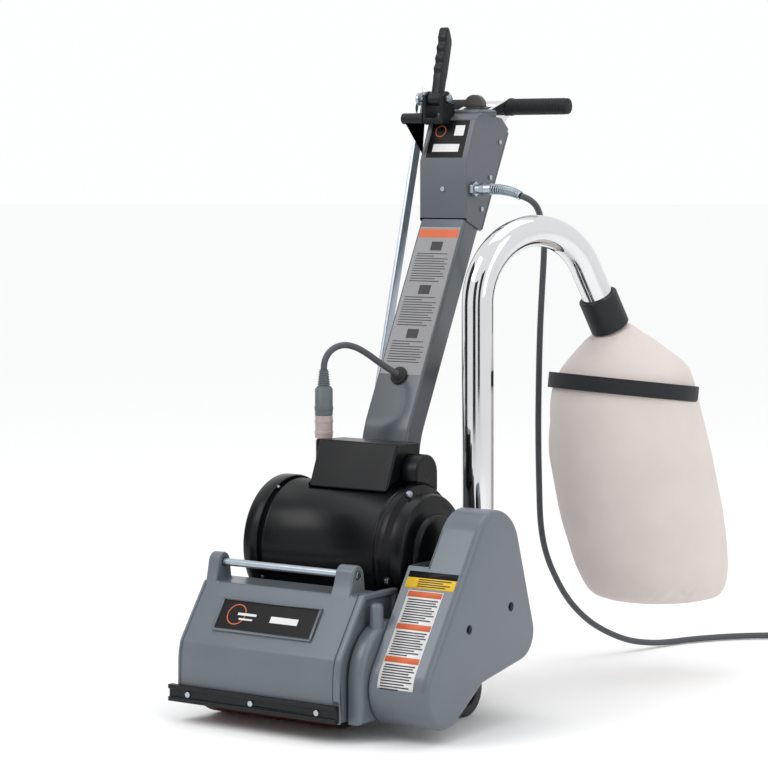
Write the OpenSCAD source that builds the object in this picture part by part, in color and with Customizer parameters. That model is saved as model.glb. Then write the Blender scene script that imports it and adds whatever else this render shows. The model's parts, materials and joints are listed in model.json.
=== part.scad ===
// Walk-behind floor drum sander: belt-driven sanding drum, motor, dust fan and bag.
// Millimetres, +Z up, the drum and wheels stand on Z = 0, the drum faces -Y.

/* [Drum] */
// Length of the sanding drum
drum_len = 206; // [180:1:210]
// Radius of the drum with its abrasive belt
drum_r = 76.5; // [74:0.5:77]
// Radius of the drum shaft
drum_shaft_r = 10; // [9:0.5:10]

/* [Housing] */
// Width of the cast drum housing
housing_w = 253; // [250:1:256]
// Wall thickness of the casting
casting_wall = 5; // [4:0.5:5]
// Height of the deck that carries the motor
deck_z = 112; // [110:1:112]

/* [Motor] */
// Radius of the motor shell
motor_r = 84; // [80:0.5:84]
// Radius of the motor end bells
bell_r = 89; // [86:0.5:89]

/* [Column] */
// Width of the rectangular column tube
column_w = 76; // [70:1:76]
// Depth of the rectangular column tube
column_d = 38; // [34:1:38]
// Lean of the column away from the vertical, in degrees
column_lean = 27; // [26:0.5:28]

/* [Dust] */
// Radius of the chrome dust pipe
pipe_r = 22; // [20:0.5:22]
// Radius of the bend at the top of the pipe
pipe_bend_r = 100; // [96:1:104]
// Angle that the top of the pipe turns through
pipe_turn = 152; // [148:1:156]

/* [Wheels] */
// Radius of the two carriage wheels
wheel_r = 36; // [34:0.5:36]
// Width of each wheel
wheel_w = 24; // [20:1:24]

/* [Cord] */
// Diameter of the power cord
cord_d = 9; // [8:0.5:9]

/* [Hidden] */
$fn = 64;
// Corner of the machine's own axes, placed so that the origin is under the middle of its box
ref_x = -237.5;
ref_y = -358.7;
fit = 0.05;
gap = 0.4;

// Shaft centres, as [y, z]
drum_c = [92, drum_r];
motor_c = [206, 218];
fan_c = [268, 107];
truck_c = [204, 64];
axle_c = [240, wheel_r];
lever_c = [466, 826];

// Stations along X
drum_x0 = 17;
shell_x0 = 53;
shell_x1 = 246;
motor_x1 = 290;
drum_belt_x = 364;
fan_belt_x = 344;
shaft_end = 376;
guard_x0 = 295;
guard_step_x = 326;
guard_x1 = 383;
guard_wall = 3;
fan_x0 = 238;
fan_x1 = 284;
rod_x = 75;
base_bolt_x = [60, 184];
base_bolt_y = [200, 262];
column_x = 135;

// Belt drive
drum_pulley_r = 40;
motor_pulley_r = 36;
fan_pulley_r = 15;
belt_t = 5;
drum_belt_w = 14;
fan_belt_w = 8;

// Housing profile
front_y = 4;
brow_y = 60;
brow_z = 178;
plateau_y1 = 112;
rear_r = 86;
skirt_z = [26, 48];

// Column
column_y = 297;
column_bend_z = 318;
column_bend_r = 110;
column_top = 350;
tube_wall = 2.5;
column_sin = sin(column_lean);
column_cos = cos(column_lean);

// Control box side outline, as [y, z]
box_w = 80;
box_pts = [[450, 652], [450, 737], [475, 797], [489, 806], [545, 799], [564, 784], [488, 636]];
box_wall = 2;

// Handle
handle_y = 583;
handle_z = 816;
handle_r = 9.5;
grip_r = 12;
grip_len = 101;
handle_half = 126;

// Control rod, from the truck crank up to the lever arm
rod_low = [274, 46];
rod_high = [491, 828];
rod_lean = atan2(rod_high[0] - rod_low[0], rod_high[1] - rod_low[1]);
rod_len = norm(rod_high - rod_low);

// Dust pipe
pipe_x = 264;
pipe_y = 340;
pipe_z0 = 150;
pipe_bend_z = 540;
pipe_heading = 69;
pipe_end = 62;
cuff_r = 28;
cuff_len = 50;

// Power cord
cord_r = cord_d / 2;
gland_z = 697;
gland_y = 459;
coil_x = 470;
coil_y = 1090;
coil_mean_r = 54;
coil_half_w = 19.5;
coil_h = 37;
cord_route = [
    [257, 463, 688], [268, 470, 682], [272, 482, 672], [268, 500, 655], [260, 522, 632],
    [248, 541, 600], [236, 556, 552], [227, 566, 500], [220, 574, 434], [214, 582, 350],
    [210, 591, 265], [207, 601, 205], [208, 616, 160], [213, 640, 118], [219, 668, 84],
    [228, 704, 54], [240, 742, 32], [254, 782, 16], [268, 825, 7.5], [280, 862, 4.8],
    [292, 890, 4.8], [310, 922, 4.8], [332, 953, 4.8], [358, 980, 4.8], [387, 1002, 4.8],
    [415, 1013, 4.8], [438, 1017.5, 4.8], [455, 1018.5, 4.8]
];

// Motor lead between the column and the motor inlet
lead_r = 4.5;
inlet_x = 84;
inlet_y = 230;
lead_route = [
    [84, 230, 449], [84, 230.5, 457], [85, 233, 466], [88, 239, 475], [92, 249, 481], [98, 262, 483],
    [105, 277, 479], [113, 292, 470], [121, 306, 459], [128, 318, 450], [133, 327, 444], [135, 332.6, 440.6]
];

// ---- helpers ----

// Moves a sub-part from the machine's corner to the frame's origin
module at_machine() {
    translate([ref_x, ref_y, 0]) children();
}

// Cylinder along +X from x0 to x1, centred on c = [y, z]
module bar_x(x0, x1, c, r) {
    translate([x0, c[0], c[1]]) rotate([0, 90, 0]) cylinder(r = r, h = x1 - x0);
}

// Ring along +X from x0 to x1
module ring_x(x0, x1, c, r_out, r_in) {
    difference() {
        bar_x(x0, x1, c, r_out);
        bar_x(x0 - 1, x1 + 1, c, r_in);
    }
}

// Extrudes a [y, z] outline along +X from x0 to x1
module slab_x(x0, x1) {
    translate([x0, 0, 0]) rotate([90, 0, 90]) linear_extrude(x1 - x0) children();
}

// Points on an arc of radius r around c, from angle a0 to a1
function arc_pts(c, r, a0, a1, n) = [for (i = [0:n]) c + r * [cos(a0 + (a1 - a0) * i / n), sin(a0 + (a1 - a0) * i / n)]];

// Angle of the outward normal of the left-hand outer tangent from circle a to circle b
function tangent_angle(a, ra, b, rb) = atan2(b[1] - a[1], b[0] - a[0]) + asin((rb - ra) / norm(b - a)) + 90;

// Hexagon bolt head along +X, its face at x
module bolt_x(x, c, r, h) {
    translate([x, c[0], c[1]]) rotate([0, 90, 0]) cylinder(r = r, h = h, $fn = 6);
}

// Unit vector and frames for a swept tube
function unit(v) = v / norm(v);
function tangent_at(p, i) = unit(p[min(i + 1, len(p) - 1)] - p[max(i - 1, 0)]);
function side_at(t) = abs(t[2]) > 0.9 ? unit(cross(t, [0.35, 1, 0])) : unit(cross(t, [0, 0, 1]));
function transported(p, i, prev) = let (t = tangent_at(p, i)) unit(prev - (prev * t) * t);
function sides(p, i = 0, acc = []) =
    i == len(p) ? acc
    : sides(p, i + 1, concat(acc, [i == 0 ? side_at(tangent_at(p, 0)) : transported(p, i, acc[i - 1])]));

// Catmull-Rom resampling of a route, m steps to each span
function spline_pt(a, b, c, d, t) =
    0.5 * ((2 * b) + (c - a) * t + (2 * a - 5 * b + 4 * c - d) * t * t + (3 * b - a - 3 * c + d) * t * t * t);
function smooth_route(p, m) = concat(
    [for (i = [0:len(p) - 2], k = [0:m - 1])
        spline_pt(p[max(i - 1, 0)], p[i], p[i + 1], p[min(i + 2, len(p) - 1)], k / m)],
    [p[len(p) - 1]]);

// Closed tube of radius r swept along the points p with n sides
module tube(p, r, n) {
    s = sides(p);
    rings = [for (i = [0:len(p) - 1], k = [0:n - 1])
        let (t = tangent_at(p, i), u = s[i], v = cross(t, u), a = 360 * k / n)
        p[i] + r * (cos(a) * u + sin(a) * v)];
    walls = [for (i = [0:len(p) - 2], k = [0:n - 1])
        [i * n + k, (i + 1) * n + k, (i + 1) * n + (k + 1) % n, i * n + (k + 1) % n]];
    first = [for (k = [0:n - 1]) k];
    last = [for (k = [n - 1:-1:0]) (len(p) - 1) * n + k];
    polyhedron(points = rings, faces = concat(walls, [first, last]), convexity = 8);
}

// ---- drum housing ----

// Outer profile of the casting, [y, z], shrunk by s, its plateau ending at y = back
module housing_profile(s, back = plateau_y1) {
    r = drum_c[0] - front_y - s;
    rear = rear_r - s;
    polygon(concat(
        [[front_y + s, 24 - (s > 0 ? 20 : 0)], [front_y + s, drum_c[1]]],
        arc_pts(drum_c, r, 180, 160, 6),
        [[brow_y + s * 0.6, brow_z - s], [back - s, brow_z - s]],
        arc_pts(drum_c, rear, acos((back - s - drum_c[0]) / rear), 26, 12),
        [[182 - s, deck_z - s], [182 - s, 24 - (s > 0 ? 20 : 0)]]));
}

module ear(x0, x1) {
    slab_x(x0, x1) difference() {
        polygon(concat([[brow_y - 4, brow_z - 8]], arc_pts([76, 202], 13, 165, 15, 8), [[94, brow_z - 8]]));
        translate([76, 202]) circle(r = 5 + fit);
    }
}

module drum_housing() {
    color("slategray") at_machine() {
        difference() {
            slab_x(9 + casting_wall, 9 + housing_w) housing_profile(0);
            slab_x(0, 228) housing_profile(casting_wall);
            slab_x(238, 400) housing_profile(casting_wall);
            bar_x(220, 245, drum_c, 26);
            slab_x(-1, 400) translate([176, 30]) square([30, 40]);
            translate([208, 170, 83]) cube([18, 20, 14]);
        }
        difference() {
            slab_x(262, 272) housing_profile(-3, 132);
            slab_x(267, 273) housing_profile(casting_wall, 132);
            bar_x(261, 273, drum_c, 26);
            slab_x(261, 273) translate([176, 30]) square([30, 40]);
            translate([260, -6, skirt_z[0] - 4]) cube([14, 10, 30]);
        }
        ring_x(228, 246, drum_c, 34, 20 + fit);
        ear(14, 32);
        ear(222, 250);
        deck();
        for (x = [66, 193]) truck_lug(x);
    }
}

module deck() {
    difference() {
        union() {
            translate([20, 178, deck_z - 12]) cube([184, 104, 12]);
            translate([74, 280, deck_z - 12]) cube([122, 66, 12]);
        }
        for (x = base_bolt_x, y = base_bolt_y) translate([x, y, deck_z - 20]) cylinder(r = 4.2, h = 30);
        rod_slot();
    }
    for (x = [24, 130]) translate([x, 180, deck_z - 30]) cube([8, 96, 20]);
}

// Slot in the deck and the column foot that the control rod passes through
module rod_slot() {
    translate([rod_x - 6, 272, deck_z - 20]) cube([12, 36, 40]);
}

module truck_lug(x) {
    slab_x(x, x + 10) difference() {
        union() {
            translate(truck_c) circle(r = 13);
            translate([truck_c[0] - 13, truck_c[1]]) square([26, deck_z - 10 - truck_c[1]]);
        }
        translate(truck_c) circle(r = 7 + fit);
    }
}

module side_plate() {
    color("slategray") at_machine() difference() {
        union() {
            slab_x(9, 9 + casting_wall) housing_profile(0);
            bar_x(9, 34, drum_c, 25);
        }
        bar_x(16, 40, drum_c, 20 + fit);
        slab_x(0, 20) translate([-10, -10]) square([300, 36]);
    }
}

module bearing_cap() {
    color("slategray") at_machine() difference() {
        union() {
            slab_x(272.3, 293) polygon(concat([[22, 22]], arc_pts(drum_c, 70, 180, 0, 24), [[162, 22]]));
            translate([282.5, 70, 130]) cylinder(r = 9, h = 40);
        }
        bar_x(260, 300, drum_c, 24);
    }
}

module nameplate() {
    low = drum_c + (drum_c[0] - front_y) * [cos(160), sin(160)];
    rise = [brow_y, brow_z] - low;
    mid = low + 0.47 * rise;
    color("#101214") at_machine() translate([135, mid[0], mid[1]])
        rotate([atan2(rise[1], rise[0]), 0, 0]) translate([-80, -24, 0.1]) difference() {
            cube([160, 48, 3.2]);
            translate([4, 4, 2]) cube([152, 40, 3]);
        }
}

module dust_skirt() {
    color("#202427") at_machine() difference() {
        translate([0, -5, skirt_z[0]]) cube([271, 8.5, skirt_z[1] - skirt_z[0]]);
        translate([-1, -6, skirt_z[0] + 6]) cube([273, 4, 10]);
        for (x = [32, 135, 240]) translate([x, 6, 37]) rotate([90, 0, 0]) cylinder(r = 2.2, h = 12);
    }
}

module skirt_screws() {
    color("silver") at_machine() for (x = [32, 135, 240]) {
        translate([x, -2.1, 37]) rotate([90, 0, 0]) cylinder(r = 4, h = 2);
        translate([x, 3.4, 37]) rotate([90, 0, 0]) cylinder(r = 2, h = 6);
    }
}

module lift_bar() {
    color("lightsteelblue") at_machine() bar_x(12, 251, [76, 202], 5);
}

// ---- drum ----

module shaft_bearings() {
    color("gainsboro") at_machine() {
        ring_x(20, 32, drum_c, 20, drum_shaft_r + fit);
        ring_x(230, 244, drum_c, 20, drum_shaft_r + fit);
        ring_x(45, 56, motor_c, 20, 8 + fit);
        ring_x(262, 274, motor_c, 20, 8 + fit);
        ring_x(285, 293, fan_c, 13, 6 + fit);
        ring_x(300, 308, fan_c, 13, 6 + fit);
    }
}

module drum_shaft() {
    color("silver") at_machine() bar_x(18, shaft_end, drum_c, drum_shaft_r);
}

module drum_core() {
    color("gainsboro") at_machine() {
        ring_x(drum_x0, drum_x0 + drum_len, drum_c, 62, 56);
        ring_x(drum_x0 + 26, drum_x0 + 36, drum_c, 56, drum_shaft_r);
        ring_x(drum_x0 + drum_len - 20, drum_x0 + drum_len - 10, drum_c, 56, drum_shaft_r);
        ring_x(drum_x0 + 36, drum_x0 + drum_len - 20, drum_c, 18, drum_shaft_r);
    }
}

module drum_sleeve() {
    color("#2a2a2a") at_machine() ring_x(drum_x0, drum_x0 + drum_len, drum_c, drum_r - 1.5, 62);
}

module abrasive_belt() {
    color("#5a2a20") at_machine() ring_x(drum_x0 + 1, drum_x0 + drum_len - 1, drum_c, drum_r, drum_r - 1.5);
}

// Flanged pulley with a belt w wide running on it at x
module pulley(x, c, r, w, bore) {
    difference() {
        union() {
            bar_x(x - w / 2 - 2, x + w / 2 + 2, c, r);
            for (m = [-1, 1]) bar_x(x + m * (w / 2 + 3) - 1, x + m * (w / 2 + 3) + 1, c, r + 4);
        }
        bar_x(x - w, x + w, c, bore);
    }
}

module drum_pulley() {
    color("gray") at_machine() pulley(drum_belt_x, drum_c, drum_pulley_r, drum_belt_w, drum_shaft_r);
}

// ---- motor ----

module motor_shell() {
    color("#16191c") at_machine() {
        ring_x(shell_x0, shell_x1, motor_c, motor_r, motor_r - 5);
    }
}

module fan_bell() {
    color("#16191c") at_machine() difference() {
        union() {
            bar_x(30, shell_x0, motor_c, bell_r);
            bar_x(26, 31, motor_c, bell_r - 4);
            bar_x(22, 27, motor_c, bell_r - 12);
        }
        bar_x(25, 44, motor_c, 76);
        bar_x(43, 60, motor_c, 20 + fit);
        for (a = [0:30:330]) bar_x(20, 30, motor_c + 52 * [cos(a), sin(a)], 9);
        bar_x(20, 30, motor_c, 14);
    }
}

module drive_bell() {
    color("#16191c") at_machine() difference() {
        union() {
            bar_x(shell_x1, 258, motor_c, bell_r);
            bar_x(257, 280, motor_c, 78);
            bar_x(279, motor_x1, motor_c, 50);
        }
        bar_x(245, 262, motor_c, 72);
        bar_x(260, 276, motor_c, 20 + fit);
        bar_x(270, 300, motor_c, 12);
    }
}

module motor_bolts() {
    color("silver") at_machine() for (a = [20, 110, 200, 290]) {
        c = motor_c + 84 * [cos(a), sin(a)];
        bolt_x(258.1, c, 5, 5);
        bolt_x(53.1, motor_c + 86.5 * [cos(a + 8), sin(a + 8)], 2, 4);
    }
}

module motor_base() {
    color("#16191c") at_machine() difference() {
        union() {
            translate([46, 183, deck_z]) cube([158, 95, 6]);
            for (x = [72, 156]) translate([x, 183, deck_z + 4]) cube([16, 85, 36]);
        }
        bar_x(0, 300, motor_c, motor_r + 0.3);
        for (x = base_bolt_x, y = base_bolt_y) translate([x, y, deck_z - 1]) cylinder(r = 4.2, h = 10);
    }
}

module frame_bolts() {
    color("silver") at_machine() {
        for (x = base_bolt_x, y = base_bolt_y) {
            translate([x, y, deck_z - 16]) cylinder(r = 4, h = 25);
            translate([x, y, deck_z + 6]) cylinder(r = 7, h = 5, $fn = 6);
        }
        for (x = [82, 188]) translate([x, 316, deck_z + 6]) cylinder(r = 6, h = 5, $fn = 6);
    }
}

module stator() {
    color("peru") at_machine() {
        ring_x(80, 220, motor_c, motor_r - 5.2, 48);
        ring_x(66, 80, motor_c, 74, 54);
        ring_x(220, 234, motor_c, 70, 54);
    }
}

module rotor() {
    color("silver") at_machine() ring_x(82, 218, motor_c, 47, 9);
}

module motor_shaft() {
    color("silver") at_machine() {
        bar_x(27, 80, motor_c, 8);
        bar_x(80, 220, motor_c, 9);
        bar_x(220, shaft_end, motor_c, 8);
    }
}

module cooling_fan() {
    color("#303030") at_machine() {
        ring_x(28, 42, motor_c, 18, 8);
        ring_x(40, 42, motor_c, 68, 17.9);
        for (a = [0:45:315]) translate([30, motor_c[0], motor_c[1]]) rotate([a, 0, 0])
            translate([0, -1.2, 17.5]) cube([10.5, 2.4, 50]);
    }
}

module motor_pulley() {
    color("gray") at_machine() {
        pulley(drum_belt_x, motor_c, motor_pulley_r, drum_belt_w, 8);
        pulley(fan_belt_x, motor_c, motor_pulley_r, fan_belt_w, 8);
        ring_x(fan_belt_x + 7, drum_belt_x - 9, motor_c, 20, 8);
    }
}

// Side outline of the terminal box, [y, z], shrunk by s
module box_outline(s) {
    polygon([[176 + s, 297 + s], [202 + s, 359 - s], [256 - s, 357 - s], [262 - s, 280 + s], [225, 280 + s]]);
}

module terminal_box() {
    color("#1b1b1d") at_machine() {
        difference() {
            slab_x(97, 225) box_outline(0);
            slab_x(99, 223) box_outline(2);
            bar_x(0, 300, motor_c, motor_r + 0.4);
            bar_x(220, 230, [222, 312], 5);
        }
        translate([inlet_x, inlet_y, 322]) cylinder(r = 11, h = 34);
        bar_x(inlet_x, 97, [inlet_y, 332], 9);
    }
}

module capacitor_cover() {
    color("#1b1b1d") at_machine() difference() {
        union() {
            bar_x(225.3, 252, [234, 318], 26);
            translate([225.3, 208, 292]) cube([26.7, 52, 26]);
        }
        bar_x(228, 249, [234, 318], 23);
        bar_x(0, 300, motor_c, bell_r + 0.4);
    }
}

// ---- belt drive and guard ----

// Outline of a belt around the motor pulley and one other, at distance d outside their grooves
module belt_loop(c, r, d) {
    ra = r + d;
    rb = motor_pulley_r + d;
    back = tangent_angle(c, ra, motor_c, rb);
    front = tangent_angle(motor_c, rb, c, ra);
    polygon(concat(
        arc_pts(c, ra, back + wrap(front - back), back, 24),
        arc_pts(motor_c, rb, back, back - wrap(back - front), 24)));
}

function wrap(a) = a < 0 ? wrap(a + 360) : (a >= 360 ? wrap(a - 360) : a);

module belt_band(x, w, c, r) {
    slab_x(x - w / 2, x + w / 2) difference() {
        belt_loop(c, r, gap + belt_t);
        belt_loop(c, r, gap);
    }
}

module drive_belts() {
    color("#1a1a1a") at_machine() {
        belt_band(drum_belt_x, drum_belt_w - 1, drum_c, drum_pulley_r);
        belt_band(fan_belt_x, fan_belt_w - 1, fan_c, fan_pulley_r);
    }
}

// Guard outline, [y, z], shrunk by s
module guard_outline(s) {
    c1 = [84, 66];
    c2 = [203, 225];
    c3 = [260, 114];
    r1 = 50 - s;
    r2 = 57 - s;
    r3 = 37 - s;
    a12 = tangent_angle(c1, r1, c2, r2);
    a23 = tangent_angle(c2, r2, c3, r3);
    polygon(concat(
        arc_pts(c1, r1, 310, a12, 30),
        arc_pts(c2, r2, a12, a23, 24),
        arc_pts(c3, r3, a23, -82, 16),
        [[170, 66 + s]]));
}

module guard_backplate() {
    color("slategray") at_machine() difference() {
        union() {
            slab_x(guard_x0, guard_x0 + guard_wall) intersection() {
                guard_outline(0);
                translate([0, -50]) square([400, 263]);
            }
            slab_x(guard_step_x, guard_step_x + guard_wall) intersection() {
                guard_outline(0);
                translate([0, 210]) square([400, 263]);
            }
            slab_x(guard_x0, guard_step_x + guard_wall) intersection() {
                guard_outline(0);
                translate([0, 210]) square([400, guard_wall]);
            }
        }
        bar_x(280, 340, drum_c, 24);
        bar_x(280, 340, motor_c, 14);
        bar_x(280, 340, fan_c, 17.4);
    }
}

module belt_guard() {
    color("slategray") at_machine() {
        difference() {
            union() {
                slab_x(guard_x0, guard_x1 - 8) guard_outline(0);
                slab_x(guard_x1 - 8, guard_x1 - 3) guard_outline(2.5);
                slab_x(guard_x1 - 3, guard_x1) guard_outline(7);
            }
            slab_x(guard_x0 - 1, guard_x1 - 8) guard_outline(guard_wall);
            slab_x(guard_x0 - 9, guard_x1 - 4) guard_outline(8);
            slab_x(guard_x0 - 1, guard_x0 + guard_wall) guard_outline(-5);
            translate([0, -50, 210]) cube([guard_step_x + guard_wall, 400, 200]);
            for (c = [[234, 153], [133, 137]]) bar_x(370, 390, c, 4.5);
        }
    }
}

module guard_bolts() {
    color("#222222") at_machine() for (c = [[234, 153], [133, 137]]) {
        bar_x(298.1, 379.5, c, 4);
        bolt_x(372, c, 4.2, 6);
    }
}

// ---- dust fan ----

module fan_housing() {
    color("slategray") at_machine() difference() {
        union() {
            bar_x(fan_x0, fan_x1, fan_c, 37.5);
            translate([fan_x0, fan_c[0], 70]) cube([fan_x1 - fan_x0, pipe_y + 24 - fan_c[0], 60]);
            translate([pipe_x, pipe_y, 100]) cylinder(r = 26, h = 90);
            bar_x(fan_x1, 310, fan_c, 17);
            translate([204.3, 182.1, 80]) cube([33.7, 86, 20]);
            bar_x(204.3, fan_x0 + 1, fan_c, 26);
        }
        bar_x(fan_x0 + 3, fan_x1 - 3, fan_c, 34.5);
        translate([207, 181, 82]) cube([28, 80, 16]);
        translate([fan_x0 + 3, fan_c[0], 74]) cube([fan_x1 - fan_x0 - 6, pipe_y + 21 - fan_c[0], 52]);
        translate([pipe_x, pipe_y, 110]) cylinder(r = 19, h = 60);
        translate([pipe_x, pipe_y, pipe_z0]) cylinder(r = pipe_r + fit, h = 60);
        bar_x(fan_x1 - 4, 311, fan_c, 13 + fit);
        bar_x(207, fan_x0 + 4, fan_c, 18);
    }
}

module fan_impeller() {
    color("gainsboro") at_machine() {
        ring_x(246, 278, fan_c, 12, 6);
        ring_x(275, 278, fan_c, 32, 11.9);
        for (a = [0:45:315]) translate([250, fan_c[0], fan_c[1]]) rotate([a, 0, 0])
            translate([0, -1, 11.5]) cube([25.5, 2, 20.4]);
    }
}

module fan_shaft() {
    color("silver") at_machine() bar_x(244, fan_belt_x + 8, fan_c, 6);
}

module fan_pulley() {
    color("gray") at_machine() pulley(fan_belt_x, fan_c, fan_pulley_r, fan_belt_w, 6);
}

// ---- column and control box ----

// Side outline of the bent column from height z0 up, [y, z], grown by s
module column_outline(s, z0) {
    bend_c = [column_y + column_bend_r + column_d, column_bend_z];
    rise = column_top * [column_sin, column_cos];
    front = arc_pts(bend_c, column_bend_r + column_d + s, 180, 180 - column_lean, 9);
    back = arc_pts(bend_c, column_bend_r - s, 180 - column_lean, 180, 9);
    polygon(concat([[column_y - s, z0]], front, [front[9] + rise, back[0] + rise], back,
        [[column_y + column_d + s, z0]]));
}

module column_solid(s, z0) {
    slab_x(column_x - column_w / 2 - s, column_x + column_w / 2 + s) column_outline(s, z0);
}

// Centre of the lead's hole in the column's front face, +Z out of the face
module at_lead_hole() {
    translate([column_x, 339.5, 437]) rotate([90 - column_lean, 0, 0]) children();
}

module column() {
    color("slategray") at_machine() difference() {
        column_solid(0, deck_z + 0.01);
        column_solid(-tube_wall, deck_z - 5);
        at_lead_hole() translate([0, 0, -20]) cylinder(r = 9.5, h = 60);
    }
}

module column_foot() {
    color("slategray") at_machine() difference() {
        union() {
            translate([74, 288, deck_z]) cube([122, 56, 6]);
            translate([column_x - column_w / 2 - 6, 290, deck_z]) cube([column_w + 12, 52, 70]);
        }
        translate([column_x - column_w / 2, column_y, deck_z - 1]) cube([column_w, column_d, 80]);
        bar_x(0, 300, motor_c, motor_r + 4);
        translate([column_x - 30, 280, deck_z + 20]) cube([60, 80, 60]);
        rod_slot();
    }
}

// Control box outline, [y, z]; the shell is open at the back
module control_box() {
    color("#828993") at_machine() difference() {
        slab_x(column_x - box_w / 2, column_x + box_w / 2) polygon(box_pts);
        slab_x(column_x - box_w / 2 + box_wall, column_x + box_w / 2 - box_wall) offset(delta = -box_wall)
            polygon(box_pts);
        slab_x(column_x - box_w / 2 + box_wall, column_x + box_w / 2 - box_wall)
            translate([450 + box_wall, 600]) square([60, 60]);
        column_solid(0.1, 300);
        at_box_back() translate([4, -6, 6]) cube([box_w - 8, 12, 150]);
        bar_x(160, 180, [gland_y + 6, gland_z], 7);
        translate([139, 500, 790]) cube([28, 16, 30]);
    }
}

// Lower left corner of the box's open back, +Z up the back and +Y out of it
module at_box_back() {
    translate([column_x - box_w / 2, 488, 636]) rotate([-column_lean, 0, 0]) children();
}

module box_cover() {
    color("#6f7680") at_machine() at_box_back() difference() {
        translate([0, 0.5, 4]) cube([box_w, 3, 157]);
        for (x = [6, box_w - 6], z = [14, 84, 152]) translate([x, 0, z]) rotate([-90, 0, 0])
            cylinder(r = 2.2, h = 40);
    }
}

module box_screws() {
    color("silver") at_machine() {
        at_box_back() for (x = [6, box_w - 6], z = [14, 84, 152])
            translate([x, 3.6, z]) rotate([-90, 0, 0]) cylinder(r = 4, h = 2.5);
        for (c = [[538, 764], [512, 713], [489, 668]]) bar_x(column_x + box_w / 2 + 0.1, column_x + box_w / 2 + 2.2, c, 3.5);
        translate([column_x, 449.9, 697]) rotate([90, 0, 0]) cylinder(r = 3.5, h = 2);
    }
}

module handle_bar() {
    color("silver") at_machine() {
        bar_x(column_x - handle_half, column_x + handle_half, [handle_y, handle_z], handle_r);
        for (x = [column_x - 28.8, column_x + 22.8]) slab_x(x, x + 6) difference() {
            polygon([[530, 798], [560, 786], [592, 808], [590, 824], [576, 826], [534, 812]]);
            translate([handle_y, handle_z]) circle(r = handle_r);
            offset(delta = 0.1) polygon(box_pts);
        }
    }
}

module grips() {
    color("#23262b") at_machine() for (m = [-1, 1]) translate([column_x, handle_y, handle_z]) rotate([0, 90 * m, 0]) {
        difference() {
            translate([0, 0, handle_half - grip_len + 4]) rotate_extrude() polygon([
                [0, 0], [grip_r - 1.5, 0], [grip_r, 2], [grip_r, grip_len - 6], [grip_r - 2, grip_len - 2],
                [grip_r - 5, grip_len], [0, grip_len]]);
            cylinder(r = handle_r + fit, h = handle_half + 0.01);
        }
    }
}

// Switch paddle turning on a pin across the box top
module power_switch() {
    color("#565656") at_machine() {
        translate([153, 512, 815]) rotate([90, 0, 0]) intersection() {
            cylinder(r = 17.5, h = 10);
            translate([-20, 0, 0]) cube([40, 40, 12]);
        }
        translate([141, 502, 796]) cube([24, 10, 22]);
        bar_x(139.3, 166.7, [507, 800], 2.5);
    }
}

// ---- drum lift ----

module lever_bracket() {
    color("#15181c") at_machine() {
        difference() {
            union() {
                slab_x(98, 103) bracket_outline();
                slab_x(127, 132) bracket_outline();
                translate([98, 452, 790]) cube([34, 22, 8]);
            }
            bar_x(80, 140, lever_c, 4 + fit);
            slab_x(column_x - box_w / 2 - 0.5, column_x + 5) offset(delta = 0.2) polygon(box_pts);
        }
        bar_x(60, 98, [460, 798], 8);
    }
}

module bracket_outline() {
    difference() {
        union() {
            translate(lever_c) circle(r = 11);
            translate([452, 790]) square([26, 42]);
            translate([476, 800]) square([10, 20]);
        }
        translate([420, 780]) rotate(27) square([30, 60]);
    }
}

module control_lever() {
    color("#1d2026") at_machine() {
        difference() {
            union() {
                bar_x(104, 126, lever_c, 10);
                translate([105, lever_c[0], lever_c[1]]) rotate([-14, 0, 0]) translate([0, -7, 0]) cube([20, 14, 40]);
                translate([115, lever_c[0], lever_c[1]]) rotate([-14, 0, 0]) lever_grip();
            }
            bar_x(80, 140, lever_c, 4);
        }
        bar_x(84, 139, lever_c, 4);
        bar_x(132.5, 137, lever_c, 7);
        lever_arm();
    }
}

module lever_grip() {
    translate([0, 0, 30]) linear_extrude(62) translate([-9, -8]) square([18, 16]);
    translate([-9, 0, 92]) rotate([0, 90, 0]) cylinder(r = 8, h = 18);
    for (z = [42, 58, 74]) translate([-9, -6, z]) rotate([0, 90, 0]) cylinder(r = 6, h = 18);
}

// Crank arm outside the bracket that pushes the rod
module lever_arm() {
    arm_angle = 4.5;
    slab_x(83, 87.5) difference() {
        union() {
            translate(lever_c) circle(r = 9);
            translate(lever_c) rotate(arm_angle) translate([0, -7]) square([25, 14]);
            translate(lever_c + 25 * [cos(arm_angle), sin(arm_angle)]) circle(r = 10.5);
        }
        translate(lever_c + 25 * [cos(arm_angle), sin(arm_angle)]) circle(r = 7);
    }
}

module control_rod() {
    color("lightsteelblue") at_machine() {
        translate([rod_x - 2.5, rod_low[0], rod_low[1]]) rotate([-rod_lean, 0, 0]) {
            translate([0, -8, 0]) cube([5, 16, rod_len]);
            for (z = [0, rod_len]) translate([0, 0, z]) rotate([0, 90, 0]) cylinder(r = 8, h = 5);
        }
        for (c = [rod_low, rod_high]) bar_x(rod_x + 2.4, 88, c, 4);
    }
}

module truck() {
    color("#3a3f45") at_machine() {
        difference() {
            union() {
                for (x = [52, 240]) slab_x(x, x + 8) truck_arm();
                slab_x(82, 87) crank_outline();
                translate([52, 218, 42]) cube([196, 10, 10]);
                bar_x(80, 90, truck_c, 11);
            }
            bar_x(40, 260, truck_c, 7 + fit);
            bar_x(70, 100, rod_low, 6.5);
        }
        bar_x(10, 314, axle_c, 6);
    }
}

module truck_arm() {
    translate(truck_c) circle(r = 12);
    translate(axle_c) circle(r = 12);
    polygon([truck_c + [-5, -11], axle_c + [-7, -9.5], axle_c + [7, 9.5], truck_c + [7, 10]]);
}

module crank_outline() {
    translate(truck_c) circle(r = 11);
    translate(rod_low) circle(r = 11);
    polygon([truck_c + [-2, -10], rod_low + [-2, -10], rod_low + [2, 10], truck_c + [2, 10]]);
}

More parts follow.
